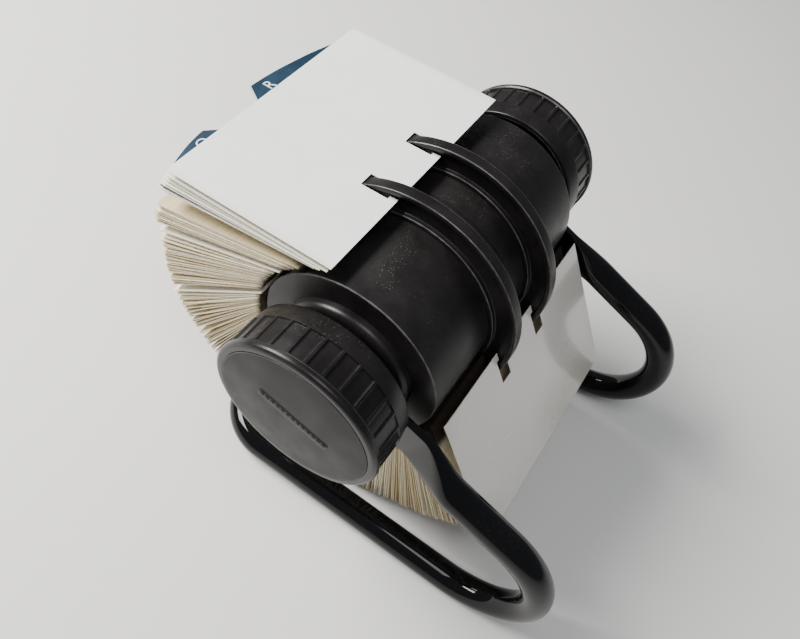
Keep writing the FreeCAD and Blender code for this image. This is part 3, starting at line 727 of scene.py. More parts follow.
def tube_stations(s):
    """(centre, direction, half width, half thickness, squareness) along the whole stand."""
    slope = strut_slope(s)
    side_x = STAND_HIGH.x - s.tube_radius
    floor_z = s.tube_radius
    down = Vector((0, -math.cos(slope), -math.sin(slope)))
    stations = []
    flat_steps = 14
    for step in range(flat_steps + 1):
        turn = math.pi / 2 * step / flat_steps
        width = s.blade_width / 2
        centre = Vector((s.blade_place, AXLE.y, AXLE.z)) - down * width * math.cos(turn)
        stations.append((centre, down, max(width * math.sin(turn), 0.2 * MM), s.blade_thickness / 2, 1.0))
    flare_steps = 24
    for step in range(flare_steps + 1):
        share = step / flare_steps
        eased = share * share * (3 - 2 * share)
        centre = Vector((s.blade_place + (side_x - s.blade_place) * eased, AXLE.y, AXLE.z))
        centre += down * (s.blade_length + s.flare_length * share)
        width = s.blade_width / 2 + (s.tube_radius - s.blade_width / 2) * eased
        thickness = s.blade_thickness / 2 + (s.tube_radius - s.blade_thickness / 2) * eased
        stations.append((centre, down, width, thickness, 1.0 - eased))
    centre_y = AXLE.y - s.front_reach
    centre_z = floor_z + s.front_bend
    bend_steps = 40
    for step in range(bend_steps + 1):
        turn = slope + (math.pi - slope) * step / bend_steps
        outward = Vector((0, -math.sin(turn), math.cos(turn)))
        along = Vector((0, -math.cos(turn), -math.sin(turn)))
        centre = Vector((side_x, centre_y, centre_z)) + outward * s.front_bend
        stations.append((centre, along, s.tube_radius, s.tube_radius, 0.0))
    corner_y = AXLE.y + s.rear_reach - s.rear_bend
    corner_x = side_x - s.rear_bend
    corner_steps = 28
    for step in range(corner_steps + 1):
        turn = math.pi / 2 * step / corner_steps
        centre = Vector((corner_x + s.rear_bend * math.cos(turn),
                         corner_y + s.rear_bend * math.sin(turn), floor_z))
        along = Vector((-math.sin(turn), math.cos(turn), 0))
        stations.append((centre, along, s.tube_radius, s.tube_radius, 0.0))
    mirrored = []
    for centre, along, width, thickness, squareness in reversed(stations):
        back = Vector((along.x, -along.y, -along.z))
        mirrored.append((Vector((-centre.x, centre.y, centre.z)), back, width, thickness, squareness))
    return stations + mirrored


def section_point(share, width, thickness, squareness):
    """A point round a section that is round at squareness 0 and a rounded flat at 1."""
    edge_gain = 2.4
    face_gain = 1.9
    turn = 2 * math.pi * share
    across = math.cos(turn) * thickness
    wide = math.sin(turn) * width
    if squareness > 0:
        flat = math.copysign(max(width - thickness, 0), math.sin(turn))
        lobe = math.sin(turn) * thickness + flat * min(1, abs(math.sin(turn)) * edge_gain)
        thick = math.copysign(thickness * min(1, abs(math.cos(turn)) * face_gain), math.cos(turn))
        wide = wide + (lobe - wide) * squareness
        across = across + (thick - across) * squareness
    return across, wide


def sweep_stand(shape, s, sides=48):
    """Sweep the section along the stand, and close both ends."""
    rings = []
    across = Vector((1, 0, 0))
    for centre, along, width, thickness, squareness in tube_stations(s):
        across = (across - along * across.dot(along)).normalized()
        up = along.cross(across)
        ring = []
        for number in range(sides):
            out, wide = section_point(number / sides, width, thickness, squareness)
            ring.append(shape.verts.new(centre + across * out + up * wide))
        rings.append(ring)
    for ring, other in zip(rings, rings[1:]):
        bridge(shape, ring, other)
    shape.faces.new(rings[0])
    shape.faces.new(rings[-1][::-1])


class CARDFILE_OT_stand(bpy.types.Operator):
    """Build the bent tube stand"""
    bl_idname = "card_file.stand"
    bl_label = "Stand"

    def execute(self, context):
        s = context.scene.card_file_stand
        shape = bmesh.new()
        sweep_stand(shape, s)
        look = material("tube_enamel", enamel_material, tuple(s.enamel))
        piece = from_bmesh("stand_tube", shape, [look])
        stand_for(piece, "stand", "tube_enamel", "base_tube")
        return {"FINISHED"}


# ---- drum, rails and collars ----
class CARDFILE_OT_drum(bpy.types.Operator):
    """Build the two drum shells"""
    bl_idname = "card_file.drum"
    bl_label = "Drum"

    def execute(self, context):
        s = context.scene.card_file_drum
        # A lighter line along the drum's end edge: partly rubbed wear, partly painted highlight.
        look = material("drum_plastic", moulded_plastic, "drum_plastic", tuple(s.plastic), tuple(s.dust),
                        0.40, 1500.0, 0.5, wear=((DRUM_END - 0.3 * MM, DRUM_R, 0.28 * MM),))
        seam = 0.03 * MM
        inner = DRUM_R - s.wall
        for side, flip in SIDES:
            corners = [(seam, inner, 0), (seam, DRUM_R, 0.12 * MM), (DRUM_END, DRUM_R, s.edge),
                       (DRUM_END, SHAFT_R, 0), (DRUM_END - s.wall, SHAFT_R, 0),
                       (DRUM_END - s.wall, inner, 1 * MM)]
            piece = turned_piece("drum_shell_" + side, corners, DRUM_SEGMENTS, [look], flip)
            stand_for(piece, "drum", "drum_plastic", "drum_half_" + side)
        return {"FINISHED"}


class CARDFILE_OT_rails(bpy.types.Operator):
    """Build the two T-section card rails"""
    bl_idname = "card_file.rails"
    bl_label = "Card Rails"

    def execute(self, context):
        s = context.scene.card_file_drum
        head = s.rail_head_width / 2
        web = s.rail_web / 2
        foot_r = DRUM_R + s.rail_foot
        under = RAIL_R - s.rail_head
        # Lighter lines along the edges of each rail's head and foot: partly rubbed wear, partly painted
        # highlight.
        rubbed_and_painted_light = ((head - 0.3 * MM, RAIL_R), (RAIL_FOOT_HALF - 0.2 * MM, foot_r))
        wear = [(RAIL_MIDDLE + way * reach, radius, 0.26 * MM) for reach, radius in rubbed_and_painted_light for way in (-1, 1)]
        look = material("rail_plastic", moulded_plastic, "rail_plastic", tuple(s.plastic), tuple(s.dust),
                        0.36, 1500.0, 0.5, wear=wear)
        base = DRUM_R + PRESS_GAP
        for side, flip in SIDES:
            half = [(RAIL_FOOT_HALF, base, 0), (RAIL_FOOT_HALF, foot_r, 0.35 * MM), (web, foot_r, 0.5 * MM),
                    (web, under, 0.4 * MM), (head, under, 0.35 * MM), (head, RAIL_R, 0.6 * MM)]
            corners = [(RAIL_MIDDLE + x, r, e) for x, r, e in half]
            corners += [(RAIL_MIDDLE - x, r, e) for x, r, e in reversed(half)]
            piece = turned_piece("rail_" + side, corners, RAIL_SEGMENTS, [look], flip, steps=4)
            stand_for(piece, "drum", "rail_plastic", "card_rail_" + side)
        return {"FINISHED"}


class CARDFILE_OT_collars(bpy.types.Operator):
    """Build the two end collars with their journals"""
    bl_idname = "card_file.collars"
    bl_label = "End Collars"

    def execute(self, context):
        s = context.scene.card_file_drum
        look = material("knob_plastic", knob_look, context)
        bore = SHAFT_R + PRESS_GAP
        disc_end = DRUM_END + COLLAR_THICKNESS
        boss_end = BUSH_INNER - FACE_GAP
        for side, flip in SIDES:
            corners = [(DRUM_END, bore, 0), (DRUM_END, COLLAR_R, 0), (disc_end, COLLAR_R, s.collar_edge),
                       (disc_end, BOSS_R, 0.3 * MM), (boss_end, BOSS_R, 0.1 * MM), (boss_end, JOURNAL_R, 0),
                       (COLLAR_OUTER, JOURNAL_R, 0.2 * MM), (COLLAR_OUTER, bore, 0)]
            piece = turned_piece("collar_" + side, corners, COLLAR_SEGMENTS, [look], flip, steps=8)
            stand_for(piece, "drum", "knob_plastic", "end_collar_" + side)
        return {"FINISHED"}


# ---- knobs ----
def knob_look(context):
    """The knobs' satin moulding, with lighter rubbed lines on its rim and round its face, partly wear and
    partly painted highlight.
    """
    drum = context.scene.card_file_drum
    knob = context.scene.card_file_knob
    return moulded_plastic("knob_plastic", tuple(drum.plastic), tuple(drum.dust), 0.30, 1200.0, 0.5,
                           wear=((None, CAP_R + 0.25 * MM, 0.14 * MM),
                                 (knob.grip_end + 0.5 * MM, KNOB_R, 0.3 * MM)))


def knob_outline(s):
    """The knob's closed outline, dense over the grip so that the flutes can be cut in it."""
    well = CAP_INNER - WELL_DEPTH
    web = well - KNOB_WEB
    bore = SHAFT_R + PRESS_GAP
    hollow = s.skirt_radius - s.wall
    corners = [(KNOB_INNER, bore, 0), (KNOB_INNER, KNOB_HUB_R, 0.4 * MM), (web, KNOB_HUB_R, 0.5 * MM),
               (web, hollow, 0.8 * MM), (KNOB_INNER, hollow, 0.4 * MM),
               (KNOB_INNER, s.skirt_radius, 0.7 * MM), (s.grip_start - 0.8 * MM, s.grip_radius, 0)]
    outline = rounded_outline(corners, 4)
    margin = FLUTE_MARGIN
    rows = 12
    run = s.grip_end - s.grip_start - 2 * margin
    grip = [s.grip_start - margin, s.grip_start, s.grip_start + margin]
    grip += [s.grip_start + margin + run * row / rows for row in range(1, rows)]
    grip += [s.grip_end - margin, s.grip_end, s.grip_end + margin]
    outline += [Vector((x, s.grip_radius)) for x in grip]
    outline.append(Vector((s.grip_end + 0.55 * MM, s.grip_radius + 0.3 * MM)))
    outline.append(Vector((s.grip_end + 0.8 * MM, KNOB_R)))
    for step in range(9):
        turn = math.pi / 2 * (1 - step / 8)
        outline.append(Vector((KNOB_OUTER - s.edge + s.edge * math.cos(turn),
                               KNOB_R - s.edge + s.edge * math.sin(turn))))
    inside = CAP_R + PRESS_GAP
    seat = ((KNOB_OUTER, inside + 0.35 * MM), (KNOB_OUTER - 0.15 * MM, inside + 0.1 * MM),
            (KNOB_OUTER - 0.4 * MM, inside), (CAP_INNER, inside), (CAP_INNER, WELL_R), (well, WELL_R),
            (well, bore))
    return outline + [Vector(place) for place in seat]


def flute_radius(s):
    """The knob's radius at a place on its outline and an angle, with the flutes cut in the grip."""
    pitch = 2 * math.pi / s.flute_count
    land_share = s.land / (pitch * s.grip_radius)

    def radius_at(place, angle_here):
        if place.y < s.grip_radius - 0.01 * MM or not s.grip_start <= place.x <= s.grip_end:
            return place.y
        off = abs((angle_here / pitch + 0.5) % 1 - 0.5) * 2
        depth = min(1, max(0, (1 - land_share - off) / FLUTE_FLANK))
        ends = min(1, (place.x - s.grip_start) / FLUTE_MARGIN, (s.grip_end - place.x) / FLUTE_MARGIN)
        return place.y - s.flute_depth * depth * max(0, ends)

    return radius_at


class CARDFILE_OT_knobs(bpy.types.Operator):
    """Build the two fluted knobs"""
    bl_idname = "card_file.knobs"
    bl_label = "Knobs"

    def execute(self, context):
        s = context.scene.card_file_knob
        look = material("knob_plastic", knob_look, context)
        for side, flip in SIDES:
            shape = bmesh.new()
            turn_outline(shape, knob_outline(s), s.flute_count * FLUTE_SEGMENTS, flip, flute_radius(s))
            piece = from_bmesh("knob_shell_" + side, shape, [look], math.radians(28))
            stand_for(piece, "drum", "knob_plastic", "knob_" + side)
        return {"FINISHED"}


def raised_bar(shape, s, outer, flip):
    """The plain bar across a knob's face, with a row of plain ribs along it."""
    def slab(middle, half_length, half_width, corner, base, top, edge):
        rings = []
        for height, inset in ((base, 0), (top - edge, 0), (top - 0.3 * edge, 0.3 * edge), (top, edge)):
            ring = []
            for cx, cy, start in ((1, 1, 0), (-1, 1, 90), (-1, -1, 180), (1, -1, 270)):
                for step in range(5):
                    turn = math.radians(start + 90 * step / 4)
                    reach = corner - inset
                    u = middle + cx * (half_length - corner) + reach * math.cos(turn)
                    v = cy * (half_width - corner) + reach * math.sin(turn)
                    y = u * math.cos(s.bar_slope) - v * math.sin(s.bar_slope)
                    z = u * math.sin(s.bar_slope) + v * math.cos(s.bar_slope)
                    ring.append(shape.verts.new((flip * height, AXLE.y + y, AXLE.z + z)))
            rings.append(ring)
        for ring, other in zip(rings, rings[1:]):
            bridge(shape, ring, other)
        shape.faces.new(rings[0][::-1])
        shape.faces.new(rings[-1])

    half_length = s.bar_length / 2
    half_width = s.bar_width / 2
    floor = outer + 0.45 * s.bar_height
    root = outer - 0.7 * MM
    slab(0, half_length, half_width, half_width / 2, root, floor, 0.1 * MM)
    pitch = (s.bar_length - 3 * MM) / (RIB_COUNT - 1)
    for number in range(RIB_COUNT):
        middle = (number - (RIB_COUNT - 1) / 2) * pitch
        slab(middle, 0.32 * pitch, half_width - 0.75 * MM, 0.25 * MM, root, outer + s.bar_height, 0.1 * MM)


class CARDFILE_OT_caps(bpy.types.Operator):
    """Build the two knob faces with their plain raised bars"""
    bl_idname = "card_file.caps"
    bl_label = "Knob Faces"

    def execute(self, context):
        s = context.scene.card_file_knob
        drum = context.scene.card_file_drum
        # A lighter line just inside the face's edge: partly rubbed wear, partly painted highlight.
        look = material("cap_plastic", moulded_plastic, "cap_plastic", tuple(s.face), tuple(drum.dust),
                        0.46, 900.0, 0.3, wear=((None, CAP_R - 0.15 * MM, 0.13 * MM),),
                        specular=FACE_SPECULAR)
        outer = box_along("knob_cap_right")[1] - s.bar_height
        pole = 0.01 * MM
        for side, flip in SIDES:
            shape = bmesh.new()
            corners = [(CAP_INNER, pole, 0), (CAP_INNER, CAP_R, 0), (outer, CAP_R, 0.25 * MM),
                       (outer, pole, 0)]
            turn_outline(shape, rounded_outline(corners, 4), COLLAR_SEGMENTS, flip)
            raised_bar(shape, s, outer, flip)
            piece = from_bmesh("knob_face_" + side, shape, [look])
            stand_for(piece, "drum", "cap_plastic", "knob_cap_" + side)
        return {"FINISHED"}


# ---- bearings and fastenings, which keep their own meshes ----
class CARDFILE_OT_fittings(bpy.types.Operator):
    """Finish the bushes, washers, nuts and shaft"""
    bl_idname = "card_file.fittings"
    bl_label = "Bearings and Fastenings"

    def execute(self, context):
        steel = material("bright_steel", metal_material, "bright_steel", (0.58, 0.57, 0.55), 0.28, 2600.0)
        spring = material("spring_steel", metal_material, "spring_steel", (0.34, 0.33, 0.32), 0.36, 1800.0)
        nylon = material("bush_nylon", nylon_material)
        looks = {"drum_shaft": steel}
        for side, _ in SIDES:
            looks["knob_washer_" + side] = steel
            looks["knob_nut_" + side] = steel
            looks["friction_washer_" + side] = spring
            looks["bearing_bush_" + side] = nylon
        for name, look in looks.items():
            node = frame["nodes"][name]
            node.data.materials.clear()
            node.data.materials.append(look)
        return {"FINISHED"}


# ---- cards ----
def polar(radius, degrees):
    """The (y, z) offset at a radius and an angle about the axle."""
    turn = math.radians(degrees)
    return radius * math.cos(turn), radius * math.sin(turn)


def lean(place):
    """Direction of a hanging card for the place of its lower edge, in degrees."""
    for (first, lean_first), (last, lean_last) in zip(LEAN, LEAN[1:]):
        if place >= last:
            share = (first - place) / (first - last)
            return lean_first + share * (lean_last - lean_first)
    return LEAN[-1][1]


def notch_points(side, eye_height):
    """One notch in a card's lower edge, from left to right: a neck and a wider eye above it."""
    middle = side * RAIL_MIDDLE
    half = [(NECK_HALF, 0), (NECK_HALF, NECK_HEIGHT), (EYE_HALF, NECK_HEIGHT), (EYE_HALF, eye_height)]
    return [(middle - x, z) for x, z in half] + [(middle + x, z) for x, z in reversed(half)]


def tab_points(tab, height, tab_height):
    """A guide's tab from right to left: an arc from its low end up to the peak, and a slanted end."""
    low, peak, end = (value * MM for value in tab)
    chord = Vector((peak - low, tab_height))
    sign = math.copysign(1, chord.x)
    outward = Vector((-chord.y, chord.x)).normalized() * sign
    arc = []
    for step in range(TAB_STEPS + 1):
        share = step / TAB_STEPS
        bulge = TAB_BULGE * 4 * share * (1 - share)
        place = Vector((low, height)) + chord * share + outward * bulge
        arc.append((place.x, place.y))
    points = arc + [(end, height)]
    return points if low > end else points[::-1]


def card_outline(height, corner, eye_height=EYE_HEIGHT, tab=None, tab_height=0.0, half=CARD_HALF):
    """Outline of a card standing on its lower edge, anticlockwise from its lower left corner."""
    points = [(-half, 0)] + notch_points(-1, eye_height) + notch_points(1, eye_height) + [(half, 0)]
    if tab:
        points.append((half, height))
        points += tab_points(tab, height, tab_height)
        points.append((-half, height))
        return points
    for cx, start in ((1, 0), (-1, 90)):
        for step in range(3):
            turn = math.radians(start + 90 * step / 2)
            points.append((cx * (half - corner) + corner * math.cos(turn),
                           height - corner + corner * math.sin(turn)))
    return points


def card_sheet(outline, thickness, rows, columns=(), curl=None):
    """A card as a closed thin bmesh: cut into rows and columns, given its thickness, then curled."""
    shape = bmesh.new()
    shape.faces.new([shape.verts.new((x, 0, z)) for x, z in outline])
    for normal, places in (((0, 0, 1), rows), ((1, 0, 0), columns)):
        for place in places:
            point = Vector(normal) * place
            everything = shape.verts[:] + shape.edges[:] + shape.faces[:]
            bmesh.ops.bisect_plane(shape, geom=everything, plane_co=point, plane_no=normal, dist=1e-7)
    extruded = bmesh.ops.extrude_face_region(shape, geom=shape.faces[:], use_keep_orig=True)
    upper = [item for item in extruded["geom"] if isinstance(item, bmesh.types.BMVert)]
    lifted = set(upper)
    for vert in shape.verts:
        vert.co.y = thickness / 2 if vert in lifted else -thickness / 2
        if curl:
            vert.co.y += curl(vert.co.x, vert.co.z)
    bmesh.ops.recalc_face_normals(shape, faces=shape.faces)
    return shape


def leaning(direction):
    """Turns a standing card to its direction, in degrees from the rear horizontal."""
    return Matrix.Rotation(math.radians(direction - 90), 4, "X")


def card_matrix(place, direction, foot_radius):
    """Moves a standing card to its place on the drum and turns it to its direction."""
    y, z = polar(foot_radius, place)
    return Matrix.Translation(AXLE + Vector((0, y, z))) @ leaning(direction)


def packed_card_curls():
    """Gentle bends that the packed cards take, as functions of height."""
    def bend(amount, power):
        return lambda x, z: amount * (z / CURL_HEIGHT) ** power

    return [bend(0.0, 1), bend(0.7 * MM, 2), bend(-0.6 * MM, 2), bend(1.1 * MM, 3), bend(-0.9 * MM, 3)]


def card_fan_tree():
    """Geometry nodes that stand one card on each point of a fan, with a small scatter."""
    tree = bpy.data.node_groups.new("Card Fan", "GeometryNodeTree")
    face = tree.interface
    face.new_socket(name="Geometry", in_out="INPUT", socket_type="NodeSocketGeometry")
    face.new_socket(name="Sheets", in_out="INPUT", socket_type="NodeSocketCollection")
    face.new_socket(name="Finish", in_out="INPUT", socket_type="NodeSocketMaterial")
    for label in ("Side Scatter", "Height Scatter", "Tilt Scatter", "Twist Scatter"):
        face.new_socket(name=label, in_out="INPUT", socket_type="NodeSocketFloat")
    face.new_socket(name="Seed", in_out="INPUT", socket_type="NodeSocketInt")
    face.new_socket(name="Geometry", in_out="OUTPUT", socket_type="NodeSocketGeometry")
    n = Nodes(tree)
    given = n.add("NodeGroupInput").outputs
    points = n.add("GeometryNodeMeshToPoints", {0: given["Geometry"]})
    sheets = n.add("GeometryNodeCollectionInfo", {"Collection": given["Sheets"], "Separate Children": True,
                                                  "Reset Children": True}, transform_space="RELATIVE")

    def scatter(amount, offset):
        node = n.add("FunctionNodeRandomValue", {"Seed": n.math("ADD", given["Seed"], offset)})
        n.tree.links.new(amount, node.inputs[3])
        n.tree.links.new(n.math("MULTIPLY", amount, -1.0), node.inputs[2])
        return node.outputs[1]

    turn = n.add("GeometryNodeInputNamedAttribute", {"Name": "card_turn"}, data_type="FLOAT").outputs[0]
    pick = n.add("FunctionNodeRandomValue", {"Seed": given["Seed"], 4: 0, 5: 4}, data_type="INT").outputs[2]
    tilt = n.math("ADD", turn, scatter(given["Tilt Scatter"], 1.0))
    facing = n.add("ShaderNodeCombineXYZ", {0: tilt, 1: scatter(given["Twist Scatter"], 2.0)})
    stand = n.add("GeometryNodeInstanceOnPoints", {"Points": points.outputs[0], "Instance": sheets.outputs[0],
                                                   "Pick Instance": True, "Instance Index": pick,
                                                   "Rotation": facing.outputs[0]})
    shift = n.add("ShaderNodeCombineXYZ", {0: scatter(given["Side Scatter"], 3.0),
                                           2: scatter(given["Height Scatter"], 4.0)})
    moved = n.add("GeometryNodeTranslateInstances", {"Instances": stand.outputs[0],
                                                     "Translation": shift.outputs[0], "Local Space": True})
    tint = n.add("FunctionNodeRandomValue", {"Seed": n.math("ADD", given["Seed"], 5.0)})
    stored = n.add("GeometryNodeStoreNamedAttribute", {"Geometry": moved.outputs[0], "Name": "card_tint"},
                   data_type="FLOAT", domain="INSTANCE")
    n.tree.links.new(tint.outputs[1], stored.inputs["Value"])
    real = n.add("GeometryNodeRealizeInstances", {0: stored.outputs[0]})
    finished = n.add("GeometryNodeSetMaterial", {"Geometry": real.outputs[0], "Material": given["Finish"]})
    n.add("NodeGroupOutput", {0: finished.outputs[0]})
    return tree


def finished_mesh(carrier):
    """The evaluated mesh of an object that only carries it, which is then removed."""
    graph = bpy.context.evaluated_depsgraph_get()
    graph.update()
    made = bpy.data.meshes.new_from_object(carrier.evaluated_get(graph))
    carrier.modifiers.clear()
    bpy.data.objects.remove(carrier)
    return made


def sheet_collection(name, height, s):
    """A hidden collection of the few card shapes that a pack picks from."""
    holder = bpy.data.collections.new(name)
    rows = (NECK_HEIGHT, EYE_HEIGHT, 34 * MM, 46 * MM)
    for number, curl in enumerate(packed_card_curls()):
        shape = card_sheet(card_outline(height, s.corner), s.thickness * 0.8, rows, curl=curl)
        mesh_data = bpy.data.meshes.new(f"{name}_{number}")
        shape.to_mesh(mesh_data)
        shape.free()
        holder.objects.link(bpy.data.objects.new(f"{name}_{number}", mesh_data))
    return holder


def run_nodes(name, tree, points, turns, values):
    """Run a tree on points with a turn each, and return the plain mesh."""
    mesh_data = bpy.data.meshes.new(name + "_points")
    mesh_data.from_pydata(points, [], [])
    turn = mesh_data.attributes.new("card_turn", "FLOAT", "POINT")
    turn.data.foreach_set("value", turns)
    carrier = bpy.data.objects.new(name + "_points", mesh_data)
    bpy.context.scene.collection.objects.link(carrier)
    modifier = carrier.modifiers.new("Fan", "NODES")
    modifier.node_group = tree
    for item in tree.interface.items_tree:
        if item.in_out == "INPUT" and item.name in values:
            modifier[item.identifier] = values[item.name]
    return finished_mesh(carrier)


def pack_points(first, last, s):
    """Foot and turn of every card in a pack, with the cards in small loose clumps."""
    scatter = random.Random(s.seed * 1000 + int(first))
    step = math.degrees(s.pitch / s.foot_radius)
    places = []
    place = first - step
    while place > last + step:
        places.append(place)
        place -= step * scatter.choice((0.8, 0.8, 0.9, 1.0, 1.0, 1.1, 1.5))
    points = []
    turns = []
    for place in places:
        y, z = polar(s.foot_radius + 0.9 * MM, place)
        points.append(AXLE + Vector((0, y, z)))
        turns.append(math.radians(lean(place) - 90))
    return points, turns


class CARDFILE_OT_packs(bpy.types.Operator):
    """Build the packs of cards hooked round the drum"""
    bl_idname = "card_file.packs"
    bl_label = "Card Packs"

    def execute(self, context):
        s = context.scene.card_file_cards
        look = material("card_stock", card_stock_material, tuple(s.stock))
        tree = card_fan_tree()
        for number, (name, (first, last, share)) in enumerate(PACKS.items()):
            sheets = sheet_collection("sheets_" + name, s.height * share - 0.6 * MM, s)
            points, turns = pack_points(first, last, s)
            values = {"Sheets": sheets, "Finish": look, "Side Scatter": 0.25 * MM,
                      "Height Scatter": 0.6 * MM, "Tilt Scatter": math.radians(0.35),
                      "Twist Scatter": math.radians(0.25), "Seed": s.seed + 11 * number}
            made = run_nodes(name, tree, points, turns, values)
            piece = new_object("cards_" + name.removeprefix("card_pack_"), made, [look])
            stand_for(piece, "drum", "card_stock", name)
        return {"FINISHED"}


class CARDFILE_OT_guides(bpy.types.Operator):
    """Build the plain index guides and the lettered guides"""
    bl_idname = "card_file.guides"
    bl_label = "Index Guides"

    def execute(self, context):
        s = context.scene.card_file_cards
        plastic = material("guide_plastic", guide_material, tuple(s.guide))
        ink = material("guide_print", print_material)
        shape = bmesh.new()
        for place in INDEX_GUIDE_PLACES:
            one = card_sheet(card_outline(s.height, s.corner), s.guide_thickness, (EYE_HEIGHT, 36 * MM))
            one.transform(card_matrix(place, lean(place), s.foot_radius)
                          @ Matrix.Translation((0, 0, GUIDE_RAISE)))
            add_to(shape, one)
        piece = from_bmesh("plain_guides", shape, [material("white_card", white_card_material)])
        stand_for(piece, "drum", "white_card", "index_guides")
        for name, (place, direction, tab, letter, inset) in GUIDES.items():
            outline = card_outline(s.guide_height, s.corner, tab=tab, tab_height=s.tab_height,
                                   half=CARD_HALF - inset)
            rows = [s.guide_height * step / 6 for step in range(1, 7)]
            one = card_sheet(outline, s.guide_thickness, rows)
            add_outline(one, tab, s)
            add_letter(one, letter, tab, s)
            one.transform(card_matrix(place, direction, s.filed_foot))
            piece = from_bmesh(name.replace("card", "sheet"), one, [plastic, ink])
            stand_for(piece, "drum", "guide_plastic", name)
        return {"FINISHED"}


def add_to(shape, other):
    """Add another bmesh's geometry to a shape, and free it."""
    mesh_data = bpy.data.meshes.new("join")
    other.to_mesh(mesh_data)
    other.free()
    shape.from_mesh(mesh_data)
    bpy.data.meshes.remove(mesh_data)


def add_outline(shape, tab, s):
    """A fine printed line round the tab, just inside its edge, on the guide's upper face."""
    edge = [Vector(place) for place in tab_points(tab, s.guide_height, s.tab_height)]
    lift = -s.guide_thickness / 2 - PRINT_THICKNESS
    middle = Vector((sum(p.x for p in edge) / len(edge), s.guide_height))
    previous = None
    for place in edge:
        inward = (middle - place).normalized()
        outer = shape.verts.new((place.x, lift, place.y))
        inner = shape.verts.new((place.x + inward.x * PRINT_LINE, lift, place.y + inward.y * PRINT_LINE))
        if previous:
            face = shape.faces.new((previous[0], outer, inner, previous[1]))
            face.material_index = 1
        previous = (outer, inner)


def add_letter(shape, letter, tab, s):
    """A thin printed index letter near the tab's peak, on the guide's upper face."""
    text = bpy.data.curves.new("index_letter", "FONT")
    text.body = letter
    text.size = LETTER_SIZE
    text.align_x = "CENTER"
    text.resolution_u = 6
    text.extrude = PRINT_THICKNESS
    carrier = bpy.data.objects.new("index_letter", text)
    bpy.context.scene.collection.objects.link(carrier)
    made = finished_mesh(carrier)
    side = math.copysign(1, tab[0] - tab[1])
    place = Vector((tab[1] * MM + side * LETTER_INSET, -s.guide_thickness / 2 - PRINT_THICKNESS,
                    s.guide_height + LETTER_RAISE))
    made.transform(Matrix.Translation(place) @ Matrix.Rotation(math.pi / 2, 4, "X"))
    faces_before = len(shape.faces)
    shape.from_mesh(made)
    shape.faces.ensure_lookup_table()
    for face in shape.faces[faces_before:]:
        face.material_index = 1
    bpy.data.meshes.remove(made)


class CARDFILE_OT_loose_cards(bpy.types.Operator):
    """Build the filed cards, the top card and the front card"""
    bl_idname = "card_file.loose_cards"
    bl_label = "Loose Cards"

    def execute(self, context):
        s = context.scene.card_file_cards
        white = material("white_card", white_card_material)
        sleeve = material("glossy_sleeve", glossy_sleeve_material)
        rows = [s.tall_height * step / 12 for step in range(1, 12)]
        columns = [CARD_HALF * step / 6 for step in range(-5, 6)]
        shape = bmesh.new()
        scatter = random.Random(s.seed)
        for place, direction in FILED_CARDS:
            one = card_sheet(card_outline(s.tall_height, s.corner), FILED_THICKNESS, rows[::3])
            shift = Vector((scatter.uniform(-0.5, 0.5), 0, scatter.uniform(-0.2, 0.3))) * MM
            one.transform(card_matrix(place, direction, s.filed_foot) @ Matrix.Translation(shift))
            add_to(shape, one)
        piece = from_bmesh("filed_sheets", shape, [white])
        stand_for(piece, "drum", "white_card", "filed_cards")

        def sagging(x, z):
            return 0.25 * MM * math.sin(math.pi * z / s.tall_height) * (1 - (x / CARD_HALF) ** 2)

        outline = card_outline(s.tall_height, s.corner, eye_height=LOOSE_EYE_HEIGHT)
        for name, look, slot in (("top_card", white, "white_card"), ("front_card", sleeve, "glossy_sleeve")):
            one = card_sheet(outline, s.thickness, rows, columns, sagging)
            one.transform(Matrix.Translation(joint_place(name + "_swing")) @ leaning(LOOSE_LEAN[name])
                          @ Matrix.Translation((0, 0, -PIVOT_HEIGHT)))
            piece = from_bmesh(name.replace("card", "sheet"), one, [look])
            stand_for(piece, name, slot, name)
        return {"FINISHED"}


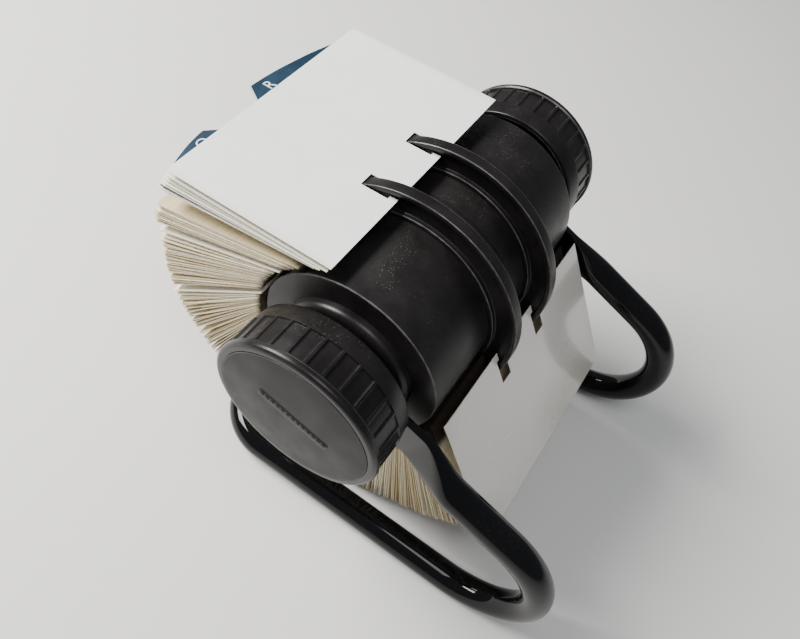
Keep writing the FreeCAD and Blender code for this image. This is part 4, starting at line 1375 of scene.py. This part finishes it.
# ---- stage ----
class CARDFILE_OT_stage(bpy.types.Operator):
    """Set the floor, the lights and the camera"""
    bl_idname = "card_file.stage"
    bl_label = "Stage"

    def execute(self, context):
        s = context.scene.card_file_stage
        self.floor(s)
        self.lights(context.scene)
        self.camera(context.scene, s)
        return {"FINISHED"}

    def floor(self, s):
        """A wide pale floor under the stand."""
        shape = bmesh.new()
        bmesh.ops.create_grid(shape, x_segments=8, y_segments=8, size=6.0)
        look = material("stage_floor", floor_material, tuple(s.floor_colour))
        from_bmesh("stage_floor", shape, [look])

    def area(self, name, place, target, size, power, tint):
        """A rectangular soft light aimed at a point."""
        light = bpy.data.lights.new(name, "AREA")
        light.shape = "RECTANGLE"
        light.size, light.size_y = size
        light.energy = power
        light.color = tint
        holder = bpy.data.objects.new(name, light)
        bpy.context.scene.collection.objects.link(holder)
        holder.location = place
        holder.rotation_euler = (Vector(target) - Vector(place)).to_track_quat("-Z", "Y").to_euler()

    def lights(self, scene):
        """A window from the rear and above, a soft overhead fill, and an even surround."""
        self.area("window", (-0.15, 0.75, 0.75), (0, 0, 0.05), (0.6, 0.42), 27.0, (1.0, 0.985, 0.96))
        self.area("overhead", (-0.3, -0.2, 1.1), (0, 0, 0.05), (0.5, 0.5), 5.0, (0.96, 0.98, 1.0))
        world = bpy.data.worlds.new("surround")
        world.use_nodes = True
        sky = world.node_tree.nodes["Background"]
        sky.inputs["Color"].default_value = (0.86, 0.90, 0.95, 1)
        sky.inputs["Strength"].default_value = 0.26
        scene.world = world

    def camera(self, scene, s):
        """The main view."""
        back = Vector((math.sin(s.azimuth) * math.cos(s.elevation),
                       -math.cos(s.azimuth) * math.cos(s.elevation), math.sin(s.elevation)))
        right = (-back).cross(Vector((0, 0, 1))).normalized()
        up = right.cross(-back)
        turned_right = right * math.cos(s.roll) + up * math.sin(s.roll)
        turned_up = up * math.cos(s.roll) - right * math.sin(s.roll)
        data = bpy.data.cameras.new("camera")
        data.sensor_width = 36.0
        data.lens = s.lens
        data.clip_start = 0.01
        holder = bpy.data.objects.new("camera", data)
        scene.collection.objects.link(holder)
        turn = Matrix((turned_right, turned_up, back)).transposed().to_4x4()
        holder.matrix_world = Matrix.Translation(AXLE + Vector(s.target) + back * s.distance) @ turn
        scene.camera = holder


class CARDFILE_PT_panel(bpy.types.Panel):
    """Lists the settings and the pieces"""
    bl_label = "Card File"
    bl_idname = "CARDFILE_PT_panel"
    bl_space_type = "VIEW_3D"
    bl_region_type = "UI"
    bl_category = "Card File"

    def draw(self, context):
        for operator in OPERATORS:
            self.layout.operator(operator.bl_idname)
        for name, group in SETTINGS.items():
            box = self.layout.box()
            box.label(text=group.__doc__)
            for prop in group.__annotations__:
                box.prop(getattr(context.scene, name), prop)


OPERATORS = (CARDFILE_OT_stand, CARDFILE_OT_drum, CARDFILE_OT_rails, CARDFILE_OT_collars, CARDFILE_OT_knobs,
             CARDFILE_OT_caps, CARDFILE_OT_fittings, CARDFILE_OT_packs, CARDFILE_OT_guides,
             CARDFILE_OT_loose_cards, CARDFILE_OT_stage)


def register():
    """Register the settings, operators and panel."""
    for group in SETTINGS.values():
        bpy.utils.register_class(group)
    for name, group in SETTINGS.items():
        setattr(bpy.types.Scene, name, PointerProperty(type=group))
    for operator in OPERATORS:
        bpy.utils.register_class(operator)
    bpy.utils.register_class(CARDFILE_PT_panel)


def unregister():
    """Take everything away again."""
    bpy.utils.unregister_class(CARDFILE_PT_panel)
    for operator in reversed(OPERATORS):
        bpy.utils.unregister_class(operator)
    for name, group in SETTINGS.items():
        delattr(bpy.types.Scene, name)
        bpy.utils.unregister_class(group)


def main():
    """Build every piece in order."""
    register()
    for operator in OPERATORS:
        getattr(bpy.ops.card_file, operator.bl_idname.split(".")[1])()


if __name__ == "__main__":
    main()
